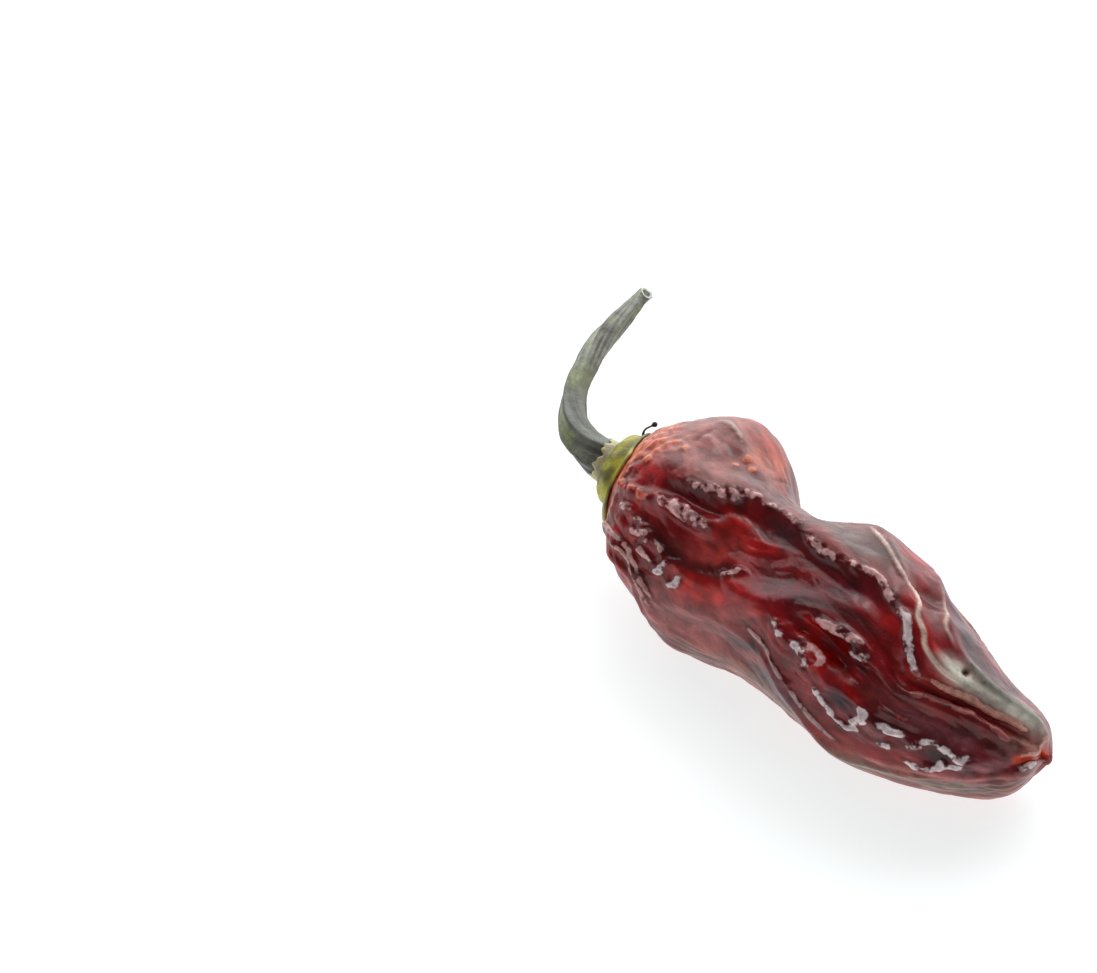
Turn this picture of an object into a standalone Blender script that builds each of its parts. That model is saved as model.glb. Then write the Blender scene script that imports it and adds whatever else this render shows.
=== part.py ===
"""A superhot chili pepper, picked with its stalk and lying on its side.

The pod is one skin laid round a curved spine, with its ridges, furrows and hollows added on top.
The calyx is a collar on the pod's shoulder, and the stem is a ribbed stalk that arches to its cut end.
Lengths are in millimetres and angles in degrees, and MM turns them into metres.
"""

from collections import namedtuple

import bmesh
import bpy
import numpy as np

MM = 0.001

# The middle of the finished pepper's box, in the plan that the lines below are drawn in.
BOX_MIDDLE = (37.8, 4.2)

# The pod's spine from the calyx to the tip: x along, y across, z above the table.
POD_SPINE = [
    (16.3, -2.6, 13.7),
    (19.4, -1.8, 12.9),
    (23.3, -1.7, 12.5),
    (27.5, -2.0, 12.4),
    (34.0, -2.9, 12.3),
    (40.0, -3.7, 12.0),
    (46.0, -3.6, 11.9),
    (52.0, -3.4, 11.9),
    (58.0, -4.0, 11.6),
    (63.5, -4.6, 10.9),
    (68.3, -4.5, 9.7),
    (72.8, -3.2, 8.2),
    (77.2, -0.9, 6.6),
    (81.0, 1.8, 5.5),
    (83.0, 3.4, 5.1),
]

# The pod's outline turned round that spine: millimetres along it, and the radius there.
SEAT_RADIUS = 4.2
POD_PROFILE = [
    (0.0, SEAT_RADIUS),
    (0.7, 6.0),
    (3.8, 9.3),
    (8.5, 11.8),
    (15.0, 12.4),
    (21.0, 12.0),
    (26.0, 11.5),
    (30.5, 11.5),
    (37.5, 12.1),
    (43.0, 11.7),
    (49.0, 10.7),
    (54.5, 9.2),
    (59.5, 7.5),
    (63.5, 5.9),
    (65.8, 4.4),
    (66.9, 3.2),
    (67.5, 1.8),
    (67.7, 0.0),
]
POD_RINGS = 64
POD_SIDES = 80

# A fold in the skin. Its line runs through rows of millimetres along the pod, degrees round it from
# the top, counted towards the near side, and the fold's height there. Width is its half width.
# A crest is pinched to a narrow edge. Any other fold is rounded.
Fold = namedtuple("Fold", "width crest line")

# Ridge from the shoulder over the waist to the second swelling, and the drop on its near side
FIRST_RIDGE = [(8, 24, 0), (12, 22, 0.8), (17.5, 20, 1.4), (20.5, 13, 1.4), (23.5, 4, 1.4), (28, 3, 1.3),
               (33, 6, 1.3), (38, 8, 1.2), (42, 3, 1.0), (45.5, 7, 0.8), (48, 15, 0.7), (51, 26, 0)]
FIRST_DROP = [(13, 36, 0), (17, 32, -0.8), (21, 24, -1.0), (24, 14, -0.9), (29, 13, -0.8), (34, 17, -0.9),
              (39, 19, -0.8), (43, 14, -0.6), (46, 20, -0.6), (49, 32, 0)]
# Sharp crest from the far side down to the tail, where it goes on as the lower edge of the tail's top
CREAM_CREST = [(33, -43, 0), (36.5, -28, 0.8), (39.2, -18, 1.3), (41.5, -12, 1.4), (44, -5, 1.4),
               (46.7, 2, 1.4), (49.2, 11, 1.4), (51.7, 18, 1.3), (54, 20, 1.1), (57, 21, 0.9),
               (60, 22, 0.8), (64, 23, 0.4), (67, 24, 0)]
# Lower crest behind it, which goes on as the upper edge of the tail's top
BACK_CREST = [(39, -58, 0), (42.5, -43, 0.6), (45.5, -30, 0.9), (47.7, -19, 0.9), (49.7, -7, 0.8),
              (52, 1, 0.8), (55, 6, 1.0), (58, 8, 1.0), (61, 8, 0.9), (64, 10, 0.6), (67.5, 14, 0)]
# Furrow under the tail's top, and the thin ridge below it
TAIL_FURROW = [(47, 27, 0), (49.5, 34, -1.0), (52, 35, -1.4), (54.5, 30, -1.5), (57.5, 29, -1.4),
               (60.5, 30, -1.2), (63.5, 31, -0.8), (67, 36, -0.3)]
TAIL_THREAD = [(49, 46, 0), (51.5, 43, 0.6), (54, 40, 0.8), (57, 38, 0.8), (60, 39, 0.7), (63, 43, 0.5),
               (66, 48, 0)]
# Keel low on the near side
KEEL = [(23, 55, 0), (28, 57, 0.9), (35, 60, 1.3), (42, 64, 1.4), (49, 67, 1.3), (54, 67, 1.1),
        (60, 63, 0.7), (66, 56, 0)]
# Edge from which the skin turns under, from the shoulder to the tip
LOW_EDGE = [(16, 106, 0), (19, 98, 0.5), (23, 86, 0.7), (27, 79, 0.7), (31.5, 79, 0.8), (36, 82, 0.9),
            (39, 89, 1.0), (42.5, 98, 1.0), (46, 109, 0.9), (49, 115, 0.8), (52.5, 108, 0.8), (56, 93, 0.8),
            (60, 82, 0.7), (64, 76, 0.4), (67, 70, 0)]
# Two narrow ridges round the lower rim of the shoulder
RIM_RIDGE = [(2.5, 96, 0), (5, 86, 0.6), (8.5, 81, 0.8), (12.5, 79, 0.8), (15.5, 84, 0.8), (17.2, 92, 0.7),
             (18.5, 103, 0.5), (20, 114, 0)]
OUTER_RIM = [(4, 106, 0), (7, 97, 0.5), (11, 91, 0.7), (14, 92, 0.7), (15.5, 100, 0.6), (17, 112, 0.5),
             (19, 124, 0)]
CURVED_FOLD = [(26, 56, 0), (31, 53, 0.8), (36, 46, 0.9), (41, 35, 0.8), (45, 29, 0.5), (49, 36, 0)]
# Slit between the tip's two lips
LIP_SLIT = [(60.5, 66, 0), (62.5, 60, -0.6), (64.3, 50, -1.1), (66.0, 40, -1.5), (67.2, 34, -1.7),
            (67.7, 34, -1.7)]

FOLDS = [
    Fold(3.0, False, FIRST_RIDGE),
    Fold(1.2, False, FIRST_DROP),
    Fold(1.2, True, CREAM_CREST),
    Fold(1.1, True, BACK_CREST),
    Fold(1.0, False, TAIL_FURROW),
    Fold(0.9, False, TAIL_THREAD),
    Fold(2.4, False, KEEL),
    Fold(1.5, True, LOW_EDGE),
    Fold(0.9, False, RIM_RIDGE),
    Fold(0.9, False, OUTER_RIM),
    Fold(1.5, False, CURVED_FOLD),
    Fold(0.8, False, LIP_SLIT),
    # Short folds on the near shoulder
    Fold(1.2, False, [(11, 45, 0), (14.5, 42, 0.9), (18.5, 37, 1.0), (21, 34, 0.7), (24, 27, 0)]),
    Fold(1.2, False, [(13, 62, 0), (17, 63, 0.5), (21, 63, 0.5), (25, 60, 0)]),
    # Welt down the shoulder's dome
    Fold(1.0, False, [(9, -27, 0), (12, -22, 0.5), (15, -17, 0.6), (18, -13, 0.5), (21, -12, 0)]),
    # Fold across the red pits of the near side
    Fold(1.0, False, [(38, 46, 0), (41, 43, 0.6), (44, 40, 0.8), (47, 41, 0.6), (50, 48, 0)]),
    # Ridges of the far side, which the photograph doesn't show
    Fold(3.4, False, [(5, -96, 0), (11, -98, 0.6), (16, -98, 0.6), (21, -98, 0)]),
    Fold(3.2, False, [(28, -94, 0), (34, -92, 1.0), (41, -90, 0.9), (48, -84, 0.7), (55, -78, 0.6),
                      (62, -70, 0)]),
    Fold(2.6, False, [(8, -118, 0), (15, -124, 0.9), (24, -128, 1.0), (34, -130, 0.9), (44, -128, 0.9),
                      (54, -122, 0.6), (62, -115, 0)]),
    Fold(1.6, False, [(20, -100, 0), (25, -106, -0.9), (31, -108, -1.2), (38, -107, -1.1), (46, -104, -0.9),
                      (54, -100, 0)]),
    # Two low folds that the pod rests on
    Fold(3.0, False, [(8, 150, 0), (14, 152, 0.8), (30, 150, 0.9), (45, 148, 0.9), (56, 146, 0.5),
                      (64, 140, 0)]),
    Fold(3.0, False, [(8, -152, 0), (14, -156, 0.8), (30, -158, 0.9), (45, -158, 0.9), (56, -154, 0.5),
                      (64, -148, 0)]),
]

# A hollow or a swelling: millimetres along and degrees round to its middle, its half length, its half
# width, how far its long axis leans from the pod's, and its height.
Patch = namedtuple("Patch", "along around length width lean height")

PATCHES = [
    # Notch of the waist on the far side of the top
    Patch(24.0, -74, 5.0, 9.0, 0, -3.7),
    # Bulge of the shoulder over the notch, and the hollow behind the first ridge
    Patch(12.3, -44, 5.0, 6.5, 0, 2.15),
    Patch(32, -34, 6.0, 5.0, -10, -0.5),
    # Slack below the calyx on the near side
    Patch(6, 104, 3.5, 5.0, 0, -0.9),
    Patch(6, 132, 4.0, 5.0, 0, -0.9),
    # Hollow panel between the two crests
    Patch(46.0, -16, 4.0, 2.0, -40, -1.1),
    # Hollows of the near side: under the shoulder's fold, along the curved fold, and in the red panel
    Patch(22, 48, 4.0, 2.4, 0, -0.8),
    Patch(24, 32, 3.0, 2.2, 20, -0.5),
    Patch(35, 30, 8.0, 3.0, 8, -0.7),
    Patch(43, 52, 5.0, 1.8, -8, -1.2),
    # Hollow below the edge from which the skin turns under
    Patch(28, 96, 7.0, 3.0, 0, -0.7),
    Patch(52, 122, 7.0, 2.4, 0, -0.6),
    # Shorter lower lip
    Patch(67.2, 95, 2.2, 5.0, 0, -3.6),
    # Fuller flank low on the near side, under the shoulder and under the second swelling
    Patch(20.2, 131, 4.2, 5.0, 0, 1.7),
    Patch(48.0, 126, 4.5, 4.0, 0, 1.3),
    # Outline of the far side: out over the second swelling, in along the tail
    Patch(29, -32, 2.4, 4.0, 0, -0.5),
    Patch(36, -35, 2.6, 3.5, 0, 0.6),
    Patch(48.5, -53, 5.0, 4.0, 0, -0.85),
    # Hollows of the far side
    Patch(14, -92, 6.0, 3.0, 0, -0.8),
    Patch(44, -66, 6.0, 3.0, 0, -0.7),
    Patch(58, -40, 6.0, 3.2, 0, -0.6),
]

# The calyx: a cup on the shoulder. Heights are along the seat's axis, towards the stem.
GAP = 0.35
CALYX_CUP = [(4.85, 0.75), (4.6, 1.2), (4.2, 1.6), (3.7, 1.95), (3.2, 2.2), (2.85, 2.38)]
CALYX_HEIGHT = 2.45
CALYX_NECK_RADIUS = 2.7
CALYX_RIM_RADIUS = 5.0
CALYX_EDGE = 0.55
CALYX_BLUNT = 0.16
CALYX_RIB = 0.12
TOOTH_LENGTH = 0.8
TOOTH_WIDTH = 13.0
TEETH = (-48, 24, 104, 184, 256)
LONG_TOOTH = 104
LONG_TOOTH_LENGTH = 2.6
CALYX_SIDES = 80
CALYX_STEPS = 1
SHOULDER_RINGS = 200

# The stem: x, y, z and radius from the calyx to the cut end.
STEM_LINE = [
    (10.9, -3.6, 14.9, 2.25),
    (8.6, -3.1, 15.2, 2.1),
    (5.9, -1.4, 15.4, 1.85),
    (3.7, 0.8, 15.6, 1.65),
    (1.9, 3.1, 15.9, 1.5),
    (0.3, 6.4, 16.4, 1.5),
    (-1.3, 10.1, 16.8, 1.55),
    (-2.5, 13.9, 17.1, 1.5),
    (-3.5, 17.8, 17.2, 1.25),
    (-4.5, 21.6, 17.2, 1.0),
    (-5.2, 24.9, 17.2, 0.95),
]
STEM_FOOT_RADIUS = 2.5
STEM_FOOT_RUN = 0.7
STEM_RIBS = 5
STEM_RIB_DEPTH = 0.09
STEM_TWIST = 130
STEM_RINGS = 44
STEM_SIDES = 20

UP = np.array([0.0, 0.0, 1.0])


def run_of(curve):
    """Return how far along the curve each of its points is."""
    steps = np.linalg.norm(np.diff(curve, axis=0), axis=1)
    return np.concatenate([[0.0], np.cumsum(steps)])


def smooth(points, steps):
    """Return the natural cubic spline through the points, with so many steps from each to the next."""
    rows = np.asarray(points, float)
    knots = run_of(rows)
    gap = np.diff(knots)
    system = np.eye(len(rows))
    pull = np.zeros_like(rows)
    for i in range(1, len(rows) - 1):
        system[i, i - 1:i + 2] = gap[i - 1], 2 * (gap[i - 1] + gap[i]), gap[i]
        pull[i] = 6 * ((rows[i + 1] - rows[i]) / gap[i] - (rows[i] - rows[i - 1]) / gap[i - 1])
    bend = np.linalg.solve(system, pull)
    at = np.concatenate([np.linspace(*ends, steps, endpoint=False) for ends in zip(knots, knots[1:])])
    at = np.append(at, knots[-1])
    i = np.clip(np.searchsorted(knots, at, side="right") - 1, 0, len(gap) - 1)
    whole = gap[i][:, None]
    done = (at - knots[i])[:, None]
    left = whole - done
    near = bend[i] * left**3 / (6 * whole) + (rows[i] / whole - bend[i] * whole / 6) * left
    far = bend[i + 1] * done**3 / (6 * whole) + (rows[i + 1] / whole - bend[i + 1] * whole / 6) * done
    return near + far


def read(curve, at, run):
    """Return the curve's columns at the given distances along it."""
    return np.stack([np.interp(at, run, column) for column in curve.T], axis=-1)


def frames(line, along):
    """Return the line's point at each distance, its direction, the side and the top across it."""
    curve = smooth(line, 120)
    run = run_of(curve)
    slope = np.gradient(curve, run, axis=0)
    centre = read(curve, along, run)
    ahead = read(slope, along, run)
    ahead /= np.linalg.norm(ahead, axis=1)[:, None]
    side = np.cross(ahead, UP)
    side /= np.linalg.norm(side, axis=1)[:, None]
    return centre, ahead, side, np.cross(side, ahead)


def fold_height(fold, along, around, radius):
    """Return how far a fold lifts each point of the skin, given as arrays."""
    line = smooth(fold.line, 5)
    nearest = np.full(along.shape, np.inf)
    height = np.zeros(along.shape)
    for (s0, turn0, high0), (s1, turn1, high1) in zip(line, line[1:]):
        x = s0 - along
        y = np.radians((turn0 - around + 180) % 360 - 180) * radius
        dx = s1 - s0
        dy = np.radians(turn1 - turn0) * radius
        share = np.clip(-(x * dx + y * dy) / (dx * dx + dy * dy + 1e-9), 0, 1)
        distance = np.hypot(x + share * dx, y + share * dy)
        closer = distance < nearest
        nearest = np.where(closer, distance, nearest)
        height = np.where(closer, high0 + share * (high1 - high0), height)
    if fold.crest:
        blunt = 0.3 * fold.width
        return height * np.exp(-(np.hypot(nearest, blunt) - blunt) / fold.width)
    return height * np.exp(-((nearest / fold.width) ** 2))


def patch_height(patch, along, around, radius):
    """Return how far a hollow or a swelling lifts each point of the skin, given as arrays."""
    x = along - patch.along
    y = np.radians((around - patch.around + 180) % 360 - 180) * radius
    lean = np.radians(patch.lean)
    u = (x * np.cos(lean) + y * np.sin(lean)) / patch.length
    v = (y * np.cos(lean) - x * np.sin(lean)) / patch.width
    return patch.height * np.exp(-(u * u + v * v))


def pod_skin(rings, sides):
    """Return the pod's points, ring by ring, from its seat under the calyx to its tip."""
    profile = smooth(POD_PROFILE, 40)
    run = run_of(profile)
    rows = read(profile, np.linspace(0, run[-1], rings), run)
    turns = np.arange(sides) * 360 / sides
    along, around = np.meshgrid(rows[:, 0], turns, indexing="ij")
    plain = np.repeat(rows[:, 1:2], sides, axis=1)
    radius = plain.copy()
    reach = np.maximum(plain, 1.5)
    for fold in FOLDS:
        radius += fold_height(fold, along, around, reach)
    for patch in PATCHES:
        radius += patch_height(patch, along, around, reach)
    fade = np.clip(plain / 4, 0, 1) * np.clip(along / 4, 0, 1)
    radius = np.maximum(plain + (radius - plain) * fade, 0.3 * plain)
    centre, ahead, side, top = frames(POD_SPINE, rows[:, 0])
    turn = np.radians(around)[..., None]
    across = np.cos(turn) * top[:, None] + np.sin(turn) * side[:, None]
    points = centre[:, None] + radius[..., None] * across
    points[..., 2] = np.maximum(points[..., 2], 0)
    return points


def calyx_rim(turn):
    """Return the rim's radius at an angle round the calyx."""
    off = abs((turn - np.array(TEETH) + 180) % 360 - 180) / TOOTH_WIDTH
    length = np.where(np.array(TEETH) == LONG_TOOTH, TOOTH_LENGTH + LONG_TOOTH_LENGTH, TOOTH_LENGTH)
    return CALYX_RIM_RADIUS + float(np.sum(length * np.exp(-off**1.5)))


def calyx_section(turn, reach, height, steps):
    """Return the calyx's section at an angle round it: radius and height from seat to neck.

    The pod's skin at that angle has this reach and height outwards from the seat.
    """
    rim = calyx_rim(turn)
    wall = CALYX_CUP[0][0]
    rows = [(SEAT_RADIUS * 0.5, GAP)]
    for out in np.linspace(SEAT_RADIUS - 0.2, rim, 5):
        rows.append((out, np.interp(out, reach, height) + GAP))
    rows.append((rim + 0.5 * CALYX_BLUNT, rows[-1][1] + 0.5 * CALYX_EDGE))
    for share in (1.0, 0.6, 0.2):
        out = wall + share * (rim - wall)
        rows.append((out, np.interp(out, reach, height) + GAP + CALYX_EDGE))
    cup = smooth(CALYX_CUP, steps)
    share = np.linspace(0, 1, len(cup))
    rib = CALYX_RIB * np.cos(np.radians(10 * turn)) * 4 * share * (1 - share)
    rows.extend(zip(cup[:, 0] + rib, cup[:, 1]))
    rows.append((CALYX_NECK_RADIUS * 0.5, CALYX_HEIGHT))
    return rows


def calyx_skin(sides, steps):
    """Return the calyx's points, ring by ring, from the middle of its seat to the middle of its neck."""
    centre, ahead, side, top = frames(POD_SPINE, np.zeros(1))
    shoulder = pod_skin(SHOULDER_RINGS, sides)[:SHOULDER_RINGS // 8] - centre[0]
    height = -shoulder @ ahead[0]
    reach = np.linalg.norm(shoulder + height[..., None] * ahead[0], axis=-1)
    turns = np.arange(sides) * 360 / sides
    sections = [calyx_section(turns[i], reach[:, i], height[:, i], steps) for i in range(sides)]
    grid = np.array(sections).transpose(1, 0, 2)
    turn = np.radians(turns)[:, None]
    across = np.cos(turn) * top + np.sin(turn) * side
    return centre[0] + grid[..., 0:1] * across - grid[..., 1:2] * ahead[0]


def stem_skin(rings, sides):
    """Return the stem's points, ring by ring, from its foot on the calyx to its cut end."""
    centre, ahead, side, top = frames(POD_SPINE, np.zeros(1))
    foot = centre[0] - (CALYX_HEIGHT + GAP) * ahead[0]
    straight = foot - STEM_FOOT_RUN * ahead[0]
    line = [(*foot, STEM_FOOT_RADIUS), (*straight, STEM_FOOT_RADIUS)] + STEM_LINE
    curve = smooth(line, 40)
    run = run_of(curve)
    along = np.linspace(0, run[-1], rings)
    radius = read(curve, along, run)[:, 3]
    centre, ahead, side, top = frames([row[:3] for row in line], along)
    turn = np.radians(np.arange(sides) * 360 / sides)
    twist = np.radians(STEM_TWIST) * along / along[-1]
    ribs = 1 + STEM_RIB_DEPTH * np.cos(STEM_RIBS * (turn[None] + twist[:, None]))
    across = np.cos(turn)[None, :, None] * top[:, None] + np.sin(turn)[None, :, None] * side[:, None]
    return centre[:, None] + (radius[:, None] * ribs)[..., None] * across


def skin_object(name, points, colour, roughness, parent):
    """Make a closed object from rings of points, with a flat cap at each end."""
    rings, sides, _ = points.shape
    mesh = bmesh.new()
    grid = [[mesh.verts.new(point * MM) for point in ring] for ring in points]
    for near, far in zip(grid, grid[1:]):
        for i in range(sides):
            j = (i + 1) % sides
            mesh.faces.new((near[i], near[j], far[j], far[i]))
    for ring in (grid[0], grid[-1]):
        middle = mesh.verts.new(sum((vert.co for vert in ring), ring[0].co * 0) / sides)
        for i in range(sides):
            mesh.faces.new((ring[i], ring[(i + 1) % sides], middle))
    bmesh.ops.recalc_face_normals(mesh, faces=mesh.faces)
    bmesh.ops.triangulate(mesh, faces=mesh.faces)
    data = bpy.data.meshes.new(name)
    mesh.to_mesh(data)
    mesh.free()
    data.shade_smooth()
    item = bpy.data.objects.new(name, data)
    item.parent = parent
    data.materials.append(skin_material(name, colour, roughness))
    bpy.context.scene.collection.objects.link(item)
    return item


def skin_material(name, colour, roughness):
    """Make a plain material in a linear colour."""
    material = bpy.data.materials.new(name)
    material.use_nodes = True
    shader = material.node_tree.nodes["Principled BSDF"]
    shader.inputs["Base Color"].default_value = (*colour, 1)
    shader.inputs["Roughness"].default_value = roughness
    shader.inputs["Metallic"].default_value = 0
    return material


def main():
    for item in list(bpy.data.objects):
        bpy.data.objects.remove(item)
    pepper = bpy.data.objects.new("pepper", None)
    pepper.location = (-BOX_MIDDLE[0] * MM, -BOX_MIDDLE[1] * MM, 0)
    bpy.context.scene.collection.objects.link(pepper)
    skin_object("pod", pod_skin(POD_RINGS, POD_SIDES)[:-1], (0.16, 0.012, 0.02), 0.25, pepper)
    skin_object("calyx", calyx_skin(CALYX_SIDES, CALYX_STEPS), (0.28, 0.33, 0.08), 0.5, pepper)
    skin_object("stem", stem_skin(STEM_RINGS, STEM_SIDES), (0.13, 0.14, 0.1), 0.6, pepper)


main()
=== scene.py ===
"""The finished look of a superhot chili pepper that lies on its side on a pale table.

The pod, the calyx and the stem are laid out by the same lines as the plain solids, on finer grids,
and carry wrinkles, warts and crinkled ridges. Lengths are in millimetres and angles in degrees.
"""

from collections import namedtuple

import bpy
import numpy as np
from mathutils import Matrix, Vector, noise


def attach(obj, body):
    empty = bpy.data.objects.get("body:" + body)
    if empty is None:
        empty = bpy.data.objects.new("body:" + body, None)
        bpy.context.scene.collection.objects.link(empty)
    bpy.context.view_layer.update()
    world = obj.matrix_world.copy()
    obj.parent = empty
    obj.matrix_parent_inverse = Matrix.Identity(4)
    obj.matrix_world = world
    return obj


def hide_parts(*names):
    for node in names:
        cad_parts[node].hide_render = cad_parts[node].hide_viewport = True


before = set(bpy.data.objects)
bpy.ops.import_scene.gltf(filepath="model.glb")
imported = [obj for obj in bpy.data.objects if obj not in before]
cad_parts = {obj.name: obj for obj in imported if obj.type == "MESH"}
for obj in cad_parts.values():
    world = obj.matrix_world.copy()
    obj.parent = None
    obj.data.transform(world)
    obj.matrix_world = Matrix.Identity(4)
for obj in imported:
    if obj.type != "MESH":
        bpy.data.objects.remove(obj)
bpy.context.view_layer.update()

MM = 0.001
UP = np.array([0.0, 0.0, 1.0])

# The middle of the finished pepper's box, in the plan that the lines below are drawn in.
BOX_MIDDLE = (37.8, 4.2)

# The pod's spine from the calyx to the tip: x along, y across, z above the table.
POD_SPINE = [
    (16.3, -2.6, 13.7), (19.4, -1.8, 12.9), (23.3, -1.7, 12.5), (27.5, -2.0, 12.4),
    (34.0, -2.9, 12.3), (40.0, -3.7, 12.0), (46.0, -3.6, 11.9), (52.0, -3.4, 11.9),
    (58.0, -4.0, 11.6), (63.5, -4.6, 10.9), (68.3, -4.5, 9.7), (72.8, -3.2, 8.2), (77.2, -0.9, 6.6),
    (81.0, 1.8, 5.5), (83.0, 3.4, 5.1),
]

# The seat's radius, and the pod's outline round that spine: millimetres along it and the radius there.
SEAT_RADIUS = 4.2
POD_PROFILE = [
    (0.0, SEAT_RADIUS), (0.7, 6.0), (3.8, 9.3), (8.5, 11.8), (15.0, 12.4), (21.0, 12.0),
    (26.0, 11.5), (30.5, 11.5), (37.5, 12.1), (43.0, 11.7), (49.0, 10.7), (54.5, 9.2), (59.5, 7.5),
    (63.5, 5.9), (65.8, 4.4), (66.9, 3.2), (67.5, 1.8), (67.7, 0.0),
]
POD_RINGS = 300
POD_SIDES = 320
# The grid is closer on the side round this angle, by this share.
FINE_SIDE = 45
FINE_SHARE = 0.55

# A fold in the skin. Its line runs through rows of millimetres along the pod, degrees round it from the
# top, counted towards the near side, and the fold's height there. A height that a row leaves out is 0 at
# the line's ends and 1 between. Width is the fold's half width. A crest is pinched to a narrow edge.
Fold = namedtuple("Fold", "width crest line")

FOLDS = [
    # Ridge from the shoulder over the waist to the second swelling, and the drop on its near side
    Fold(3.0, False, [(8, 24), (12, 22, 0.8), (17.5, 20, 1.4), (20.5, 13, 1.4), (23.5, 4, 1.4), (28, 3, 1.3),
        (33, 6, 1.3), (38, 8, 1.2), (42, 3), (45.5, 7, 0.8), (48, 15, 0.7), (51, 26)]),
    Fold(1.2, False, [(13, 36), (17, 32, -0.8), (21, 24, -1.0), (24, 14, -0.9), (29, 13, -0.8),
        (34, 17, -0.9), (39, 19, -0.8), (43, 14, -0.6), (46, 20, -0.6), (49, 32)]),
    # Sharp crest from the far side down to the tail, where it is the lower edge of the tail's top
    Fold(1.2, True, [(33, -43), (36.5, -28, 0.8), (39.2, -18, 1.3), (41.5, -12, 1.4), (44, -5, 1.4),
        (46.7, 2, 1.4), (49.2, 11, 1.4), (51.7, 18, 1.3), (54, 20, 1.1), (57, 21, 0.9), (60, 22, 0.8),
        (64, 23, 0.4), (67, 24)]),
    # Lower crest behind it, which goes on as the upper edge of the tail's top
    Fold(1.1, True, [(39, -58), (42.5, -43, 0.6), (45.5, -30, 0.9), (47.7, -19, 0.9), (49.7, -7, 0.8),
        (52, 1, 0.8), (55, 6), (58, 8), (61, 8, 0.9), (64, 10, 0.6), (67.5, 14)]),
    # Furrow under the tail's top, and the thin ridge below it
    Fold(1.0, False, [(47, 27), (49.5, 34, -1.0), (52, 35, -1.4), (54.5, 30, -1.5), (57.5, 29, -1.4),
        (60.5, 30, -1.2), (63.5, 31, -0.8), (67, 36, -0.3)]),
    Fold(0.9, False, [(49, 46), (51.5, 43, 0.6), (54, 40, 0.8), (57, 38, 0.8), (60, 39, 0.7), (63, 43, 0.5),
        (66, 48)]),
    # Keel low on the near side
    Fold(2.4, False, [(23, 55), (28, 57, 0.9), (35, 60, 1.3), (42, 64, 1.4), (49, 67, 1.3), (54, 67, 1.1),
        (60, 63, 0.7), (66, 56)]),
    # Edge from which the skin turns under, from the shoulder to the tip
    Fold(1.5, True, [(16, 106), (19, 98, 0.5), (23, 86, 0.7), (27, 79, 0.7), (31.5, 79, 0.8), (36, 82, 0.9),
        (39, 89), (42.5, 98), (46, 109, 0.9), (49, 115, 0.8), (52.5, 108, 0.8), (56, 93, 0.8), (60, 82, 0.7),
        (64, 76, 0.4), (67, 70)]),
    # Two narrow ridges round the lower rim of the shoulder
    Fold(0.9, False, [(2.5, 96), (5, 86, 0.6), (8.5, 81, 0.8), (12.5, 79, 0.8), (15.5, 84, 0.8),
        (17.2, 92, 0.7), (18.5, 103, 0.5), (20, 114)]),
    Fold(0.9, False, [(4, 106), (7, 97, 0.5), (11, 91, 0.7), (14, 92, 0.7), (15.5, 100, 0.6), (17, 112, 0.5),
        (19, 124)]),
    # Curved fold over the red pits
    Fold(1.5, False, [(26, 56), (31, 53, 0.8), (36, 46, 0.9), (41, 35, 0.8), (45, 29, 0.5), (49, 36)]),
    # Slit between the tip's two lips
    Fold(0.8, False, [(60.5, 66), (62.5, 60, -0.6), (64.3, 50, -1.1), (66.0, 40, -1.5), (67.2, 34, -1.7),
        (67.7, 34, -1.7)]),
    # Short folds on the near shoulder
    Fold(1.2, False, [(11, 45), (14.5, 42, 0.9), (18.5, 37), (21, 34, 0.7), (24, 27)]),
    Fold(1.2, False, [(13, 62), (17, 63, 0.5), (21, 63, 0.5), (25, 60)]),
    # Welt down the shoulder's dome
    Fold(1.0, False, [(9, -27), (12, -22, 0.5), (15, -17, 0.6), (18, -13, 0.5), (21, -12)]),
    # Fold across the red pits of the near side
    Fold(1.0, False, [(38, 46), (41, 43, 0.6), (44, 40, 0.8), (47, 41, 0.6), (50, 48)]),
    # Ridges of the far side, which the photograph doesn't show
    Fold(3.4, False, [(5, -96), (11, -98, 0.6), (16, -98, 0.6), (21, -98)]),
    Fold(3.2, False, [(28, -94), (34, -92), (41, -90, 0.9), (48, -84, 0.7), (55, -78, 0.6), (62, -70)]),
    Fold(2.6, False, [(8, -118), (15, -124, 0.9), (24, -128), (34, -130, 0.9), (44, -128, 0.9),
        (54, -122, 0.6), (62, -115)]),
    Fold(1.6, False, [(20, -100), (25, -106, -0.9), (31, -108, -1.2), (38, -107, -1.1), (46, -104, -0.9),
        (54, -100)]),
    # Two low folds that the pod rests on
    Fold(3.0, False, [(8, 150), (14, 152, 0.8), (30, 150, 0.9), (45, 148, 0.9), (56, 146, 0.5), (64, 140)]),
    Fold(3.0, False, [(8, -152), (14, -156, 0.8), (30, -158, 0.9), (45, -158, 0.9), (56, -154, 0.5),
        (64, -148)]),
]

# A hollow or a swelling: millimetres along and degrees round to its middle, its half length, its half
# width, how far its long axis leans from the pod's, and its height.
Patch = namedtuple("Patch", "along around length width lean height")

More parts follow.
